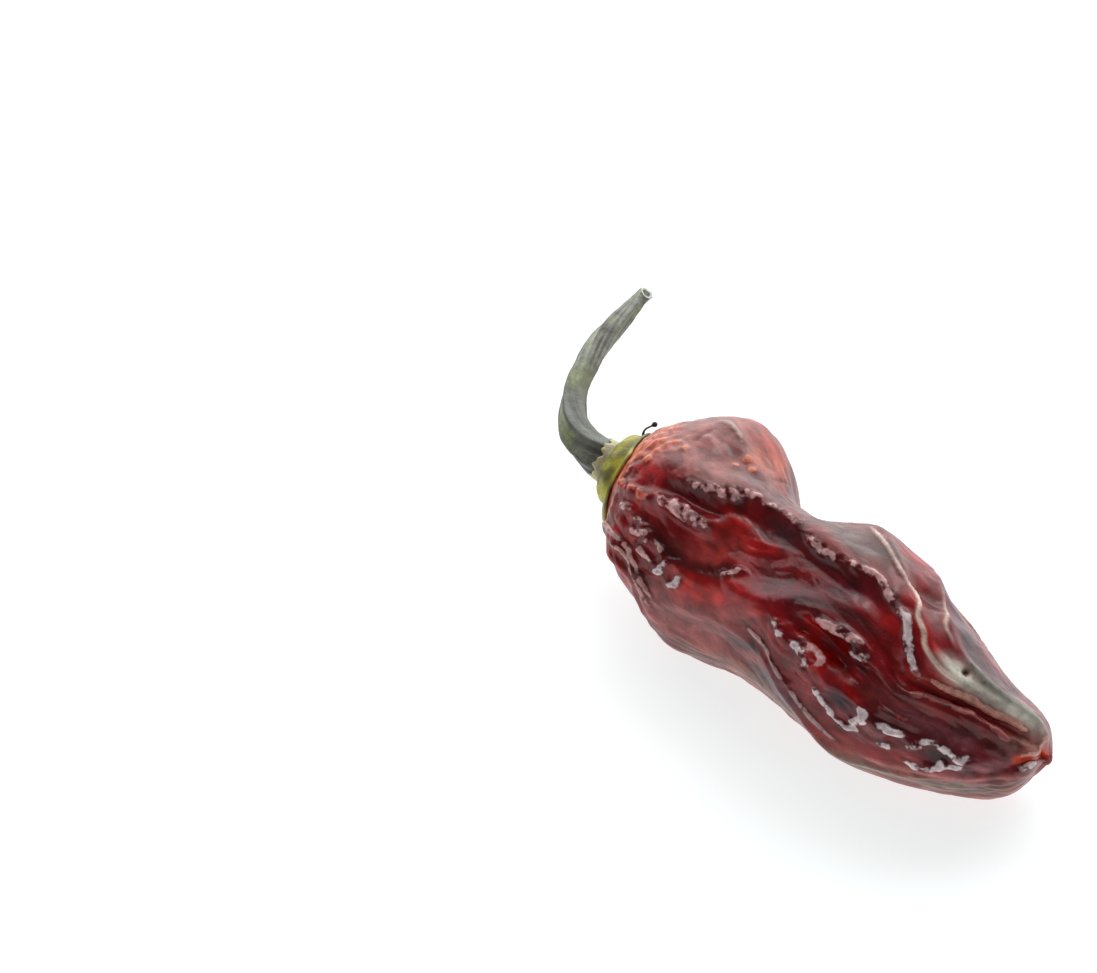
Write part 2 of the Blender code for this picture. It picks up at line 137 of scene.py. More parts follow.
PATCHES = [
    # Notch of the waist on the far side of the top
    Patch(24.0, -74, 5.0, 9.0, 0, -3.7),
    # Bulge of the shoulder over the notch, and the hollow behind the first ridge
    Patch(12.3, -44, 5.0, 6.5, 0, 2.15),
    Patch(32, -34, 6.0, 5.0, -10, -0.5),
    # Slack below the calyx on the near side
    Patch(6, 104, 3.5, 5.0, 0, -0.9),
    Patch(6, 132, 4.0, 5.0, 0, -0.9),
    # Hollow panel between the two crests
    Patch(46.0, -16, 4.0, 2.0, -40, -1.1),
    # Hollows of the near side: under the shoulder's fold, along the curved fold, and in the red panel
    Patch(22, 48, 4.0, 2.4, 0, -0.8),
    Patch(24, 32, 3.0, 2.2, 20, -0.5),
    Patch(35, 30, 8.0, 3.0, 8, -0.7),
    Patch(43, 52, 5.0, 1.8, -8, -1.2),
    # Hollow below the edge from which the skin turns under
    Patch(28, 96, 7.0, 3.0, 0, -0.7),
    Patch(52, 122, 7.0, 2.4, 0, -0.6),
    # Shorter lower lip
    Patch(67.2, 95, 2.2, 5.0, 0, -3.6),
    # Fuller flank low on the near side, under the shoulder and under the second swelling
    Patch(20.2, 131, 4.2, 5.0, 0, 1.7),
    Patch(48.0, 126, 4.5, 4.0, 0, 1.3),
    # Outline of the far side: out over the second swelling, in along the tail
    Patch(29, -32, 2.4, 4.0, 0, -0.5),
    Patch(36, -35, 2.6, 3.5, 0, 0.6),
    Patch(48.5, -53, 5.0, 4.0, 0, -0.85),
    # Hollows of the far side
    Patch(14, -92, 6.0, 3.0, 0, -0.8),
    Patch(44, -66, 6.0, 3.0, 0, -0.7),
    Patch(58, -40, 6.0, 3.2, 0, -0.6),
]


def linear(red, green, blue):
    """Return a linear colour from one in 0 to 255 as a screen shows it."""
    share = np.array([red, green, blue]) / 255
    return np.where(share <= 0.04045, share / 12.92, ((share + 0.055) / 1.055) ** 2.4)


# Colours of the pod's skin
DEEP_RED = linear(164, 20, 24)
DARK_RED = linear(110, 12, 18)
NEAR_BLACK = linear(78, 12, 18)
BLOOD_RED = linear(202, 20, 14)
VIOLET = linear(104, 20, 36)
SLATE_SHEEN = linear(88, 68, 78)
MAUVE_SHEEN = linear(156, 88, 86)
TAN_REFLECTION = linear(124, 110, 94)
DOME_SHEEN = linear(154, 86, 80)
VEIL = linear(92, 60, 54)
OLIVE_GREY_SHEEN = linear(214, 206, 192)
UMBER = linear(96, 32, 26)
ORANGE = linear(230, 116, 80)
WART = linear(236, 130, 96)
GLINT_ROSE = linear(228, 172, 170)
GLINT_LILAC = linear(236, 214, 216)
CREAM = linear(240, 206, 192)
RUST = linear(178, 66, 46)
CORAL = linear(232, 126, 104)
DULL_RED = linear(176, 60, 58)
SCARLET = linear(206, 26, 10)
PLUM_BLACK = linear(66, 20, 26)
WINE = linear(116, 24, 32)
BRICK = linear(126, 50, 46)
COPPER = linear(176, 76, 60)
TERRACOTTA = linear(206, 92, 72)
OLD_ROSE = linear(160, 70, 66)
AUBERGINE = linear(72, 40, 62)
DUSTY_ROSE = linear(206, 152, 146)
ASH_ROSE = linear(186, 148, 146)
SALMON = linear(200, 122, 116)
OXBLOOD = linear(96, 16, 14)
STONE_SHEEN = linear(176, 174, 162)
WARM_RED = linear(178, 62, 58)
PEACH = linear(214, 150, 134)
FADED_RED = linear(164, 88, 86)
RUSSET = linear(134, 66, 46)
PALE_COPPER = linear(196, 128, 108)
FLAME = linear(220, 62, 18)
PAINTED_SHEEN = linear(150, 96, 104)

# Strokes over the skin: half width, line as a fold has it with the stroke's strength in place of a height,
# colour, how much of it is laid, and if need be how far it lifts the skin and how much beads break it up.
# A beaded stroke lays a painted glint or a crisp mark, in a ring of painted shade.
STROKES = [
    # Broad colours of the shoulder's dome, of the plane behind the first ridge and of the far side; the
    # dome's pale grey-pink and the far panels' slate are partly a painted reflection
    (5.0, [(0, -10, 0.9), (6, -18), (12, -22), (18, -22, 0.9), (22, -30)], DOME_SHEEN, 1.0),
    (2.6, [(4, 6), (7, 8, 0.8), (12, 12), (16, 10), (19.5, 2), (22.5, -8)], DOME_SHEEN, 1.1),
    (3.2, [(16, -4), (20, -8, 0.6), (26, -14, 0.8), (33, -10), (38, -5), (42, -8, 0.8), (45, -16)], VEIL,
     0.9),
    (2.4, [(40, -44), (46, -38, 0.8), (50, -24), (53, -10), (56, -2), (60, -3, 0.9), (65, -4)], SLATE_SHEEN, 0.85),
    (3.2, [(46, -70), (54, -58, 0.9), (62, -50, 0.8), (66, -50)], SLATE_SHEEN, 0.6),
    (3.4, [(12, -40), (15, -36, 0.8), (18, -34), (20, -40)], RUST, 0.7),
    (2.4, [(2, -14), (4, -2, 0.9), (6, 10), (8, 20, 0.8), (9, 28)], CORAL, 0.9),
    # Dark band along the near side of the first ridge, the violet trough beside it, a greyed facet of
    # painted sheen and a short line of painted shade in a crease
    (1.4, [(11, 35), (14, 33, 0.6), (17, 30, 0.8), (20, 24, 0.9), (22.5, 14), (25, 10), (28.4, 9),
     (32.2, 13), (36.5, 17), (39, 17), (41.3, 10), (44, 9, 0.8), (46.5, 15)], DARK_RED, 1.0),
    (1.6, [(28, 36), (31, 42, 0.8), (34, 43), (36.7, 38), (39, 26), (42, 19), (44.8, 17)], VIOLET, 0.9),
    (1.0, [(25.5, 9), (28.4, 12), (30.4, 14.5), (32.5, 17)], SLATE_SHEEN, 0.5),
    (0.45, [(26, 15), (27.5, 18.5), (29.4, 21.5)], NEAR_BLACK, 0.6, -0.2, 0),
    # Painted red glow, as of light through thin skin, under the shoulder's fold
    (2.6, [(20, 30), (22.8, 27, 0.9), (24.4, 36), (24.8, 52), (25.8, 66), (27.5, 62)], BLOOD_RED, 0.7),
    # Greyed panel beside it, and the brightest red below
    (2.0, [(19.5, 50), (21.5, 48, 0.9), (23.5, 42), (25.2, 33), (26.5, 26)], DULL_RED, 0.85),
    (1.5, [(20.5, 62), (22.5, 66, 0.9), (24.5, 68), (26.5, 64, 0.9), (28, 58)], SCARLET, 0.9),
    # Pale flank that turns under, from the shoulder to the second swelling, and the pale band beneath,
    # partly a painted reflection of the table
    (3.6, [(12, 112), (17, 106, 0.8), (22, 100), (27, 94), (31, 90, 0.9), (35, 96)], MAUVE_SHEEN, 0.9),
    (1.3, [(22, 85), (25, 80, 0.9), (28, 74, 0.9), (31.5, 66, 0.7), (33, 57)], MAUVE_SHEEN, 0.6),
    (1.3, [(27, 98), (29.5, 90, 0.9), (31.5, 84), (33.5, 80), (35.8, 82)], PLUM_BLACK, 0.9),
    (1.8, [(30, 106), (34, 102, 0.8), (38, 95), (41, 96, 0.9), (43.5, 104)], SLATE_SHEEN, 0.9),
    (2.4, [(22, 128), (30, 118, 0.7), (38, 118, 0.8), (46, 124), (50, 119), (54, 112), (58, 102), (62, 92),
     (65.5, 86)], TAN_REFLECTION, 0.9),
    # Umber of the tail's near side
    (4.6, [(42, 76), (46, 78, 0.8), (51, 74), (57, 64), (63, 60), (67, 60)], WINE, 1.0),
    (0.9, [(54.4, 48), (56.5, 46), (58.5, 45), (60.5, 46)], UMBER, 0.8, 0.1, 0),
    (1.0, [(47.6, 61), (49, 56), (50.7, 49), (52.2, 46), (54, 44)], BRICK, 0.8, 0.1, 0),
    (0.4, [(49.3, 59), (50.4, 59.5), (52, 58), (53, 52.5, 0.9), (53.7, 48)], COPPER, 0.6, 0.15, 0.3),
    # Orange round the calyx and across the shoulder's dome
    (2.2, [(1.5, -50), (1.5, -25, 0.7), (1.8, 0, 0.9), (2.2, 30), (2.5, 50, 0.8), (2.2, 75, 0.6),
     (2, 110, 0.4), (2, 150)], ORANGE, 0.8),
    (1.7, [(16.6, -12), (17.8, -20, 0.9), (18.2, -30), (18.6, -40), (19, -52)], ORANGE, 0.45),
    # Welts down the near shoulder, with painted glints on them
    (0.75, [(0.8, 57), (3.5, 52, 0.8), (6.9, 48), (9.3, 47), (12.3, 45, 0.9), (14.7, 44)], TERRACOTTA, 0.8,
     0.5, 0.5),
    (0.75, [(14.3, 43.5), (16.1, 40, 0.8), (18.6, 38.5), (20.9, 36), (22.2, 33)], GLINT_ROSE, 0.75, 0.6, 0.8),
    (0.4, [(15, 36.5), (17, 35.5, 0.8), (19.1, 35), (20.6, 34)], GLINT_ROSE, 0.5, 0.25, 0.4),
    (0.5, [(8.3, 58.5), (9.3, 58), (10.8, 56.5), (12, 56)], GLINT_ROSE, 0.7, 0.45, 0.5),
    (0.5, [(11.8, 58.5), (12.8, 58), (14.5, 56.5), (16, 55.5)], GLINT_ROSE, 0.7, 0.45, 0.6),
    (0.5, [(12, 66.5), (13.4, 65), (15.6, 61), (17.2, 55.5)], GLINT_ROSE, 0.6, 0.4, 0.5),
    (0.55, [(14, 68), (16, 71), (17.5, 71.5), (18.8, 72)], GLINT_ROSE, 0.8, 0.5, 0.7),
    (0.4, [(14.6, 68.5), (16.4, 63.5, 0.9), (17.8, 61), (18.6, 62), (18.2, 67)], GLINT_ROSE, 0.6, 0.35, 0.5),
    (0.5, [(17.7, 79.5), (19.1, 76), (19.8, 68), (20.8, 63)], GLINT_LILAC, 0.8, 0.5, 0.8),
    (0.5, [(20.1, 80), (21.6, 76), (22, 70), (22.9, 63)], GLINT_LILAC, 0.7, 0.45, 0.8),
    # Crescent of painted shade in the crease under them, round the red panel, a lighter band of painted
    # sheen above it, and small painted glints below it
    (1.0, [(16.4, 56), (19.1, 60, 0.9), (21.6, 60.5), (24, 56.5), (25.9, 48, 0.9), (26.1, 42)], NEAR_BLACK,
     0.9, -0.25, 0),
    (0.7, [(18, 56), (19.5, 55, 0.8), (22.1, 53.5, 0.9), (24.2, 49, 0.8), (25, 42)], OLD_ROSE, 0.5, 0.15, 0),
    (0.5, [(24.8, 54), (25.8, 51.5), (27.2, 46), (28.9, 43)], GLINT_ROSE, 0.6, 0.35, 0.8),
    # Beaded edge of the first ridge, with painted glints
    (0.6, [(14, 27), (17.6, 23, 0.8), (20.2, 16), (22, 9), (24, 4, 0.8), (28.4, 3, 0.7), (31, 5.5, 0.5),
     (32, 7)], GLINT_ROSE, 0.7, 0.3, 1.0),
    (0.5, [(30.8, 7), (33, 9, 0.7), (35.5, 12), (38, 11), (40.8, 7), (42, 5), (44, 7), (45.9, 9.5)], GLINT_ROSE,
     0.8, 0.35, 1.0),
    (0.5, [(45, 9), (46.4, 10.5), (47.6, 14), (48.6, 20), (49.8, 26), (51.5, 31.5)], GLINT_LILAC, 0.8, 0.4, 1.0),
    # Lines of the shoulder's dome: pale ones, and dark ones that paint shade into its shallow grooves
    (0.2, [(9.8, -22), (12, -20.5), (14, -18.5), (15.2, -17)], CREAM, 1.2, 0.1, 0),
    (0.3, [(12, -18), (14, -17), (15.3, -15.5), (17, -16)], DARK_RED, 0.7, -0.1, 0),
    (0.4, [(11.6, 4), (11.4, -3), (11.3, -9), (11.3, -15)], DARK_RED, 0.6, -0.15, 0),
    (0.5, [(11.4, -3), (12.2, -6), (13.6, -7), (15.4, -4)], GLINT_ROSE, 0.3, 0.1, 0),
    (0.3, [(20.6, -16), (20.8, -24), (20.6, -34), (20.4, -46)], DARK_RED, 0.6, -0.1, 0),
    # Arc of painted shade round the red pits, the fold across them with painted glints, and the chain of
    # painted glints below them
    (0.8, [(34.8, 49), (37, 43.5), (39.3, 37), (42, 31), (44, 29), (46.8, 30.5)], NEAR_BLACK, 0.8, -0.2, 0),
    (0.6, [(39.6, 46.5), (41, 43.5), (43, 40.5), (45, 38.5), (47.2, 38)], GLINT_ROSE, 0.75, 0.45, 0.7),
    (0.55, [(44.6, 45.5), (45.6, 45), (46.7, 42), (47.3, 38.5)], GLINT_LILAC, 0.85, 0.45, 0.5),
    (0.55, [(34.5, 58.5), (35.6, 59), (37.6, 61), (39.7, 61)], GLINT_LILAC, 0.75, 0.5, 0.8),
    (0.5, [(39.2, 60.5), (40.4, 61.3), (42, 63), (42.5, 68.5, 0.9), (42.6, 71.5)], GLINT_LILAC, 0.7, 0.45, 0.8),
    (0.5, [(40, 58), (41.5, 58), (43.4, 59), (43.4, 64, 0.8), (42.8, 67)], GLINT_ROSE, 0.7, 0.45, 0.7),
    # Ring of painted glints low on the second swelling, with a violet hollow in it
    (1.3, [(46, 66), (46.8, 69), (47.4, 74), (47.6, 79)], AUBERGINE, 0.9, -0.3, 0),
    (0.5, [(44.2, 71), (44.9, 75.5), (45.5, 79), (46.8, 82), (47.4, 86), (48.4, 85.5), (49.1, 81),
     (49.4, 74), (49.4, 67), (48.2, 63.5)], GLINT_LILAC, 0.85, 0.5, 0.7),
    # Painted glints along the tail's near side, with painted shade in the hollow inside them
    (1.2, [(54, 76), (55, 74), (56.3, 70), (57, 69)], NEAR_BLACK, 0.9, -0.3, 0),
    (0.5, [(52.7, 75), (53.5, 71), (54.9, 64), (56.1, 66), (57, 68), (57.8, 64, 0.8), (58.5, 61)], GLINT_LILAC,
     0.8, 0.5, 0.7),
    (0.5, [(53.3, 90.5), (54.2, 88), (55.6, 84), (56.3, 77), (57.3, 74), (58.8, 73)], GLINT_LILAC, 0.8, 0.45, 0.7),
    (0.45, [(50.2, 68), (51, 68), (52.3, 67), (53.1, 66)], GLINT_LILAC, 0.8, 0.4, 0.8),
    (0.45, [(51.4, 87), (51.8, 83), (52.1, 79), (52.2, 75.5)], GLINT_LILAC, 0.7, 0.4, 0.8),
    # Thin pale lines round the lower rim of the shoulder and along the edge that turns under, partly painted
    # highlights on those edges
    (0.35, [(5, 85), (6.2, 80), (9.3, 76), (12.8, 75), (14.8, 78), (16.3, 83), (18.6, 92, 0.9), (20.7, 96)],
     DUSTY_ROSE, 0.95, 0.3, 0.2),
    (0.35, [(9.6, 81), (10.8, 79.5), (13, 79), (15.1, 83), (16.6, 89), (18.8, 98, 0.9), (20.2, 104)],
     DUSTY_ROSE, 0.7, 0.25, 0.2),
    (0.35, [(30.6, 70.5), (32, 72, 0.8), (35.2, 74), (37.5, 79), (39.3, 83), (41, 87), (42.8, 92),
     (44.8, 97), (46.8, 101, 0.9), (49.6, 105)], ASH_ROSE, 0.85, 0.2, 0.2),
    (0.3, [(49.6, 105), (52, 100, 0.8), (54.1, 94), (56.5, 87), (58, 84), (59.9, 78), (62, 73), (64.8, 74)],
     SALMON, 0.8, 0.15, 0),
    # Cream line over the second swelling, the line behind it and the red panel between them
    (1.0, [(44.4, -25), (46, -18, 0.9), (47.3, -8), (48.2, 0), (49.4, 8)], OXBLOOD, 0.85),
    (0.15, [(35.3, -27), (37.2, -20, 0.7), (39.8, -13), (41.5, -9), (43.5, -6), (45.5, -3), (46.8, 1),
     (47.8, 8), (48.8, 11), (50, 17), (51, 19), (52.7, 21, 0.9), (54.4, 20.5)], CREAM, 1.9, 0.3, 0),
    (0.18, [(44.3, -33), (46.8, -25), (48.8, -10), (50, -2), (51.7, 2.5)], CREAM, 0.7, 0.15, 0),
    # Pale top of the tail, with its edges, partly a painted reflection of the bright side behind, and a dark
    # speck on it
    (1.15, [(50.6, 11), (53, 15), (55, 17), (58, 18), (61, 18, 0.9), (64, 17, 0.6), (66.5, 16)], OLIVE_GREY_SHEEN,
     1.2),
    (0.35, [(52.4, 2), (54.1, 6, 0.8), (55.6, 9), (57.5, 11), (59.9, 12), (62, 11.5, 0.9), (64.8, 7)], STONE_SHEEN,
     1.1, 0.2, 0),
    (0.4, [(53.2, 12), (53.7, 12), (54.2, 12)], NEAR_BLACK, 1.2, -0.4, 0),
    (0.7, [(49, 30), (50.5, 32.5), (52.9, 32), (54.4, 28.5), (57, 27.5), (58.9, 28), (61.8, 29), (64.6, 32)],
     WARM_RED, 1.2, 0.25, 0),
    (0.24, [(51.2, 28), (53, 27, 0.9), (54.1, 25), (56.1, 24), (58.7, 24), (60.4, 23), (61.5, 24, 0.8),
     (63.8, 25)], PEACH, 1.6, 0.3, 0.25),
    (0.38, [(50.4, 45), (51.8, 41), (53.9, 37), (56.1, 35.5), (58.2, 37), (60.4, 42, 0.9), (61.8, 47)],
     FADED_RED, 0.9, 0.35, 0.3),
    # The tip's two lips and the orange slit between them, with a painted highlight on the lower lip
    (1.0, [(59.8, 40), (61.5, 39.5, 0.9), (63, 38), (64, 28, 0.9), (65.2, 17)], RUSSET, 0.9),
    (0.4, [(61.8, 53), (62.9, 49, 0.8), (63.9, 46), (64.7, 34), (65.3, 19, 0.9), (65.9, 9)], PALE_COPPER,
     0.9, 0.2, 0.4),
    (0.6, [(61.6, 57), (62.8, 55, 0.9), (64.1, 52), (65.3, 40), (66.4, 24, 0.9), (67, 14)], FLAME, 1.3),
    (0.4, [(62.4, 66), (63.4, 63), (64.5, 58), (65.6, 54)], GLINT_LILAC, 0.7, 0.3, 0.5),
    # Pale purple-grey painted sheen between the glints of the tail's near side
    (1.0, [(50, 56), (52.5, 54, 0.8), (56, 54, 0.9), (59, 56)], PAINTED_SHEEN, 0.5),
    (0.9, [(55.5, 80), (58, 76, 0.8), (60.5, 68, 0.9), (62.5, 66)], PAINTED_SHEEN, 0.5),
    # The far side, which the picture doesn't show: hollows darkened with painted shade, painted glints and a
    # thin line like the near side's
    (1.0, [(8, -78), (12, -84, 0.9), (16, -82), (20, -76)], NEAR_BLACK, 0.9, -0.3, 0),
    (0.5, [(9, -88), (11.5, -93), (14.5, -92), (17.5, -86)], GLINT_ROSE, 0.7, 0.45, 0.7),
    (0.55, [(14, -108), (17, -112), (19.5, -108)], GLINT_ROSE, 0.6, 0.45, 0.7),
    (0.9, [(28, -96), (32, -100), (37, -97), (42, -90)], NEAR_BLACK, 0.9, -0.3, 0),
    (0.5, [(30, -108), (33.5, -111), (37, -107), (39.5, -101)], GLINT_LILAC, 0.7, 0.45, 0.7),
    (0.5, [(42, -112), (44.5, -108), (47, -110), (49, -117)], GLINT_LILAC, 0.7, 0.45, 0.7),
    (1.1, [(48, -92), (52, -96, 0.9), (56, -92), (60, -84)], NEAR_BLACK, 0.9, -0.3, 0),
    (0.3, [(24, -84), (28, -80), (34, -82), (40, -78), (45, -72)], DUSTY_ROSE, 0.8, 0.25, 0.2),
    (2.8, [(10, -128), (20, -136, 0.8), (32, -132, 0.8), (46, -136, 0.9), (58, -120)], MAUVE_SHEEN, 0.6),
]

# Red pits of the near side and warts by the calyx: millimetres along, degrees round, radius, lift.
PITS = [(39.3, 49, 0.8, -0.35), (40.9, 49, 0.9, -0.4), (42.3, 56, 0.9, -0.4), (44.2, 53.5, 1.1, -0.5),
        (43.9, 62, 0.7, -0.3), (46.6, 57, 0.9, -0.4), (47.9, 62, 0.8, -0.35), (39.6, 54, 0.6, -0.3)]
WARTS = [(2.5, 13, 0.9, 0.5), (7.1, 11, 0.8, 0.45), (9.0, 13, 0.7, 0.4), (8.3, 27, 0.8, 0.45),
         (8.2, 19, 0.6, 0.35), (1.6, 33, 0.9, 0.5), (5.5, 38, 0.8, 0.45), (5.1, 26, 0.9, 0.5),
         (9.8, 9, 0.6, 0.3), (11.8, 11, 0.6, 0.35), (3.9, 2, 0.8, 0.4), (6.3, -4, 0.6, 0.3),
         (17.6, -11, 0.6, 0.3), (19.1, -9, 0.6, 0.3), (17.8, -3, 0.6, 0.3)]

# Steps of a smooth line from each of its points to the next: in a fold, an outline and a spine.
FOLD_STEPS = 5
OUTLINE_STEPS = 40
SPINE_STEPS = 120
# How blunt a crest is, as a share of its half width.
CREST_BLUNT = 0.3


def run_of(curve):
    """Return how far along the curve each of its points is."""
    steps = np.linalg.norm(np.diff(curve, axis=0), axis=1)
    return np.concatenate([[0.0], np.cumsum(steps)])


def smooth(points, steps):
    """Return the natural cubic spline through the points, with so many steps from each to the next."""
    rows = np.asarray(points, float)
    knots = run_of(rows)
    gap = np.diff(knots)
    system = np.eye(len(rows))
    pull = np.zeros_like(rows)
    for i in range(1, len(rows) - 1):
        system[i, i - 1:i + 2] = gap[i - 1], 2 * (gap[i - 1] + gap[i]), gap[i]
        pull[i] = 6 * ((rows[i + 1] - rows[i]) / gap[i] - (rows[i] - rows[i - 1]) / gap[i - 1])
    bend = np.linalg.solve(system, pull)
    at = np.concatenate([np.linspace(*ends, steps, endpoint=False) for ends in zip(knots, knots[1:])])
    at = np.append(at, knots[-1])
    i = np.clip(np.searchsorted(knots, at, side="right") - 1, 0, len(gap) - 1)
    whole = gap[i][:, None]
    done = (at - knots[i])[:, None]
    left = whole - done
    near = bend[i] * left**3 / (6 * whole) + (rows[i] / whole - bend[i] * whole / 6) * left
    far = bend[i + 1] * done**3 / (6 * whole) + (rows[i + 1] / whole - bend[i + 1] * whole / 6) * done
    return near + far


def read(curve, at, run):
    """Return the curve's columns at the given distances along it."""
    return np.stack([np.interp(at, run, column) for column in curve.T], axis=-1)


def frames(line, along):
    """Return the line's point at each distance, its direction, the side and the top across it."""
    curve = smooth(line, SPINE_STEPS)
    run = run_of(curve)
    slope = np.gradient(curve, run, axis=0)
    centre = read(curve, along, run)
    ahead = read(slope, along, run)
    ahead /= np.linalg.norm(ahead, axis=1)[:, None]
    side = np.cross(ahead, UP)
    side /= np.linalg.norm(side, axis=1)[:, None]
    return centre, ahead, side, np.cross(side, ahead)


def outward(turn, side, top):
    """Return the direction out of each ring at each turn from its top, in radians."""
    return np.cos(turn)[..., None] * top[:, None] + np.sin(turn)[..., None] * side[:, None]


def even_turns(sides):
    """Return evenly spaced angles round a piece, in degrees."""
    return np.arange(sides) * 360 / sides


def rough(places, sizes, seed):
    """Return smooth noise from -1 to 1 at each place, which changes over the given sizes."""
    spread = places / np.asarray(sizes) + seed
    values = [noise.noise(place) for place in spread.reshape(-1, 3).tolist()]
    return np.array(values).reshape(places.shape[:-1])


def grain(places, sizes, seed, contrast):
    """Return smooth noise made steeper by its contrast and cut off at -1 and 1."""
    return np.clip(rough(places, sizes, seed) * contrast, -1, 1)


def blend(colour, share, tint):
    """Move a grid of colours towards a tint, by a share at each point."""
    colour += share[..., None] * (tint - colour)


def raised(points, height):
    """Return a grid of points, closed across its rows, lifted along its normals."""
    ahead = np.gradient(points, axis=0)
    across = np.roll(points, -1, axis=1) - np.roll(points, 1, axis=1)
    normal = np.cross(ahead, across)
    normal /= np.linalg.norm(normal, axis=-1)[..., None] + 1e-9
    outside = points - points.mean(axis=1, keepdims=True)
    if np.median((outside * normal).sum(-1)) < 0:
        normal = -normal
    return points + height[..., None] * normal


def fold_height(fold, skin):
    """Return how far a fold lifts each point of the skin."""
    last = len(fold.line) - 1
    line = smooth([(*row, 0 < i < last)[:3] for i, row in enumerate(fold.line)], FOLD_STEPS)
    nearest = np.full(skin.along.shape, np.inf)
    height = np.zeros(skin.along.shape)
    for (s0, turn0, high0), (s1, turn1, high1) in zip(line, line[1:]):
        x = s0 - skin.along
        y = np.radians((turn0 - skin.around + 180) % 360 - 180) * skin.reach
        dx = s1 - s0
        dy = np.radians(turn1 - turn0) * skin.reach
        share = np.clip(-(x * dx + y * dy) / (dx * dx + dy * dy + 1e-9), 0, 1)
        distance = np.hypot(x + share * dx, y + share * dy)
        closer = distance < nearest
        nearest = np.where(closer, distance, nearest)
        height = np.where(closer, high0 + share * (high1 - high0), height)
    if fold.crest:
        blunt = CREST_BLUNT * fold.width
        return height * np.exp(-(np.hypot(nearest, blunt) - blunt) / fold.width)
    return height * np.exp(-((nearest / fold.width) ** 2))


def patch_height(patch, skin):
    """Return how far a hollow or a swelling lifts each point of the skin."""
    x = skin.along - patch.along
    y = np.radians((skin.around - patch.around + 180) % 360 - 180) * skin.reach
    lean = np.radians(patch.lean)
    u = (x * np.cos(lean) + y * np.sin(lean)) / patch.length
    v = (y * np.cos(lean) - x * np.sin(lean)) / patch.width
    return patch.height * np.exp(-(u * u + v * v))


# Points of a skin: millimetres along it, degrees round it, the radius at which turns are measured, and
# places for noise, which has no seam there.
Skin = namedtuple("Skin", "along around reach places")

# Folds fade out this close to the seat and where the plain radius is this small, they leave this share of
# that radius, and turns are measured at this radius at least.
FADE = 4.0
LEAST_SHARE = 0.3
LEAST_REACH = 1.5


def pod_skin(rings, turns):
    """Return the pod's points ring by ring at those angles, and the skin's own coordinates there."""
    profile = smooth(POD_PROFILE, OUTLINE_STEPS)
    run = run_of(profile)
    rows = read(profile, np.linspace(0, run[-1], rings), run)
    along, around = np.meshgrid(rows[:, 0], turns, indexing="ij")
    plain = np.repeat(rows[:, 1:2], len(turns), axis=1)
    turn = np.radians(around)
    places = np.stack([along, plain * np.cos(turn), plain * np.sin(turn)], axis=-1)
    skin = Skin(along, around, np.maximum(plain, LEAST_REACH), places)
    lift = sum(fold_height(fold, skin) for fold in FOLDS)
    lift += sum(patch_height(patch, skin) for patch in PATCHES)
    fade = np.clip(plain / FADE, 0, 1) * np.clip(along / FADE, 0, 1)
    radius = np.maximum(plain + lift * fade, LEAST_SHARE * plain)
    centre, ahead, side, top = frames(POD_SPINE, rows[:, 0])
    points = centre[:, None] + radius[..., None] * outward(turn, side, top)
    points[..., 2] = np.maximum(points[..., 2], 0)
    return points, skin


# How strongly the skin is wrinkled lengthwise: patches of it over a base.
WRINKLE_BASE = 0.16
WRINKLED = [
    Patch(14, 70, 8.0, 4.5, 0, 0.45),
    Patch(43, 64, 8.0, 4.0, 0, 0.5),
    Patch(55, 66, 7.0, 4.5, 0, 0.6),
    Patch(16, -130, 14.0, 8.0, 0, 0.6),
    Patch(46, -120, 12.0, 7.0, 0, 0.55),
    Patch(20, 170, 16.0, 8.0, 0, 0.5),
]
# Where the calyx's side of the pod is warty.
WARTY = [Patch(3.5, 15, 5.0, 6.0, 0, 0.8), Patch(3, 70, 3.5, 7.0, 0, 0.5), Patch(3, 190, 4.0, 14.0, 0, 0.6)]

# Noise in the skin: the sizes it changes over, along and across, and its seed.
BENDS = [((5, 5, 5), 3.1), ((5, 5, 5), 17.7), ((5, 5, 5), 41.3)]
LONG_WRINKLES = (5.0, 1.7, 1.7), 8.5
FINE_WRINKLES = (2.0, 0.95, 0.95), 23.5
SWELLS = (4.0, 3.2, 3.2), 91.0
CLOUDS = (8, 5, 5), 33.0
WART_LUMPS = (1.7, 1.7, 1.7), 61.0
# The same with a contrast.
BEADS = (1.3, 0.9, 0.9), 77.0, 2.4
GRIT = (0.6, 0.5, 0.5), 29.0, 2.4
TONE_PATCHES = (3.4, 2.0, 2.0), 53.0, 10.0
TONE_FLECKS = (1.5, 0.9, 0.9), 37.0, 6.25
# How far the bends shift the other noise, how far wrinkles sink, and how high each kind stands.
BEND = 1.1
WRINKLE_SINK = 0.45
LONG_HEIGHT = 0.45
FINE_HEIGHT = 0.16
SWELL_HEIGHT = 0.1
WART_HEIGHT = 0.36
PATCH_HEIGHT = 0.03
# How much the patches and the flecks lighten or darken the skin, and the shade painted in hollows: how much
# a hollow this deep takes from its red, green and blue.
PATCH_TONE = 0.16
FLECK_TONE = 0.12
SHADED_HOLLOW_DEPTH = 0.3
HOLLOW_SHADE = np.array([0.3, 0.6, 0.6])
# The ring of painted shade round beaded strokes: how dark it gets, and how much slower than the stroke it
# fades out.
SHADE_HALO_SHARE = 0.55
SHADE_HALO_REACH = 2.4
# How much beads break up a painted glint or crisp mark.
GLINT_AND_MARK_BEADS = 0.4


def lay_glint_or_mark(glints_and_marks, tint, share):
    """Lay a painted glint or a crisp mark's colour of its own over the skin wherever its share beats what is
    there.
    """
    more = share > glints_and_marks[..., 3]
    glints_and_marks[more, :3] = tint
    glints_and_marks[more, 3] = share[more]


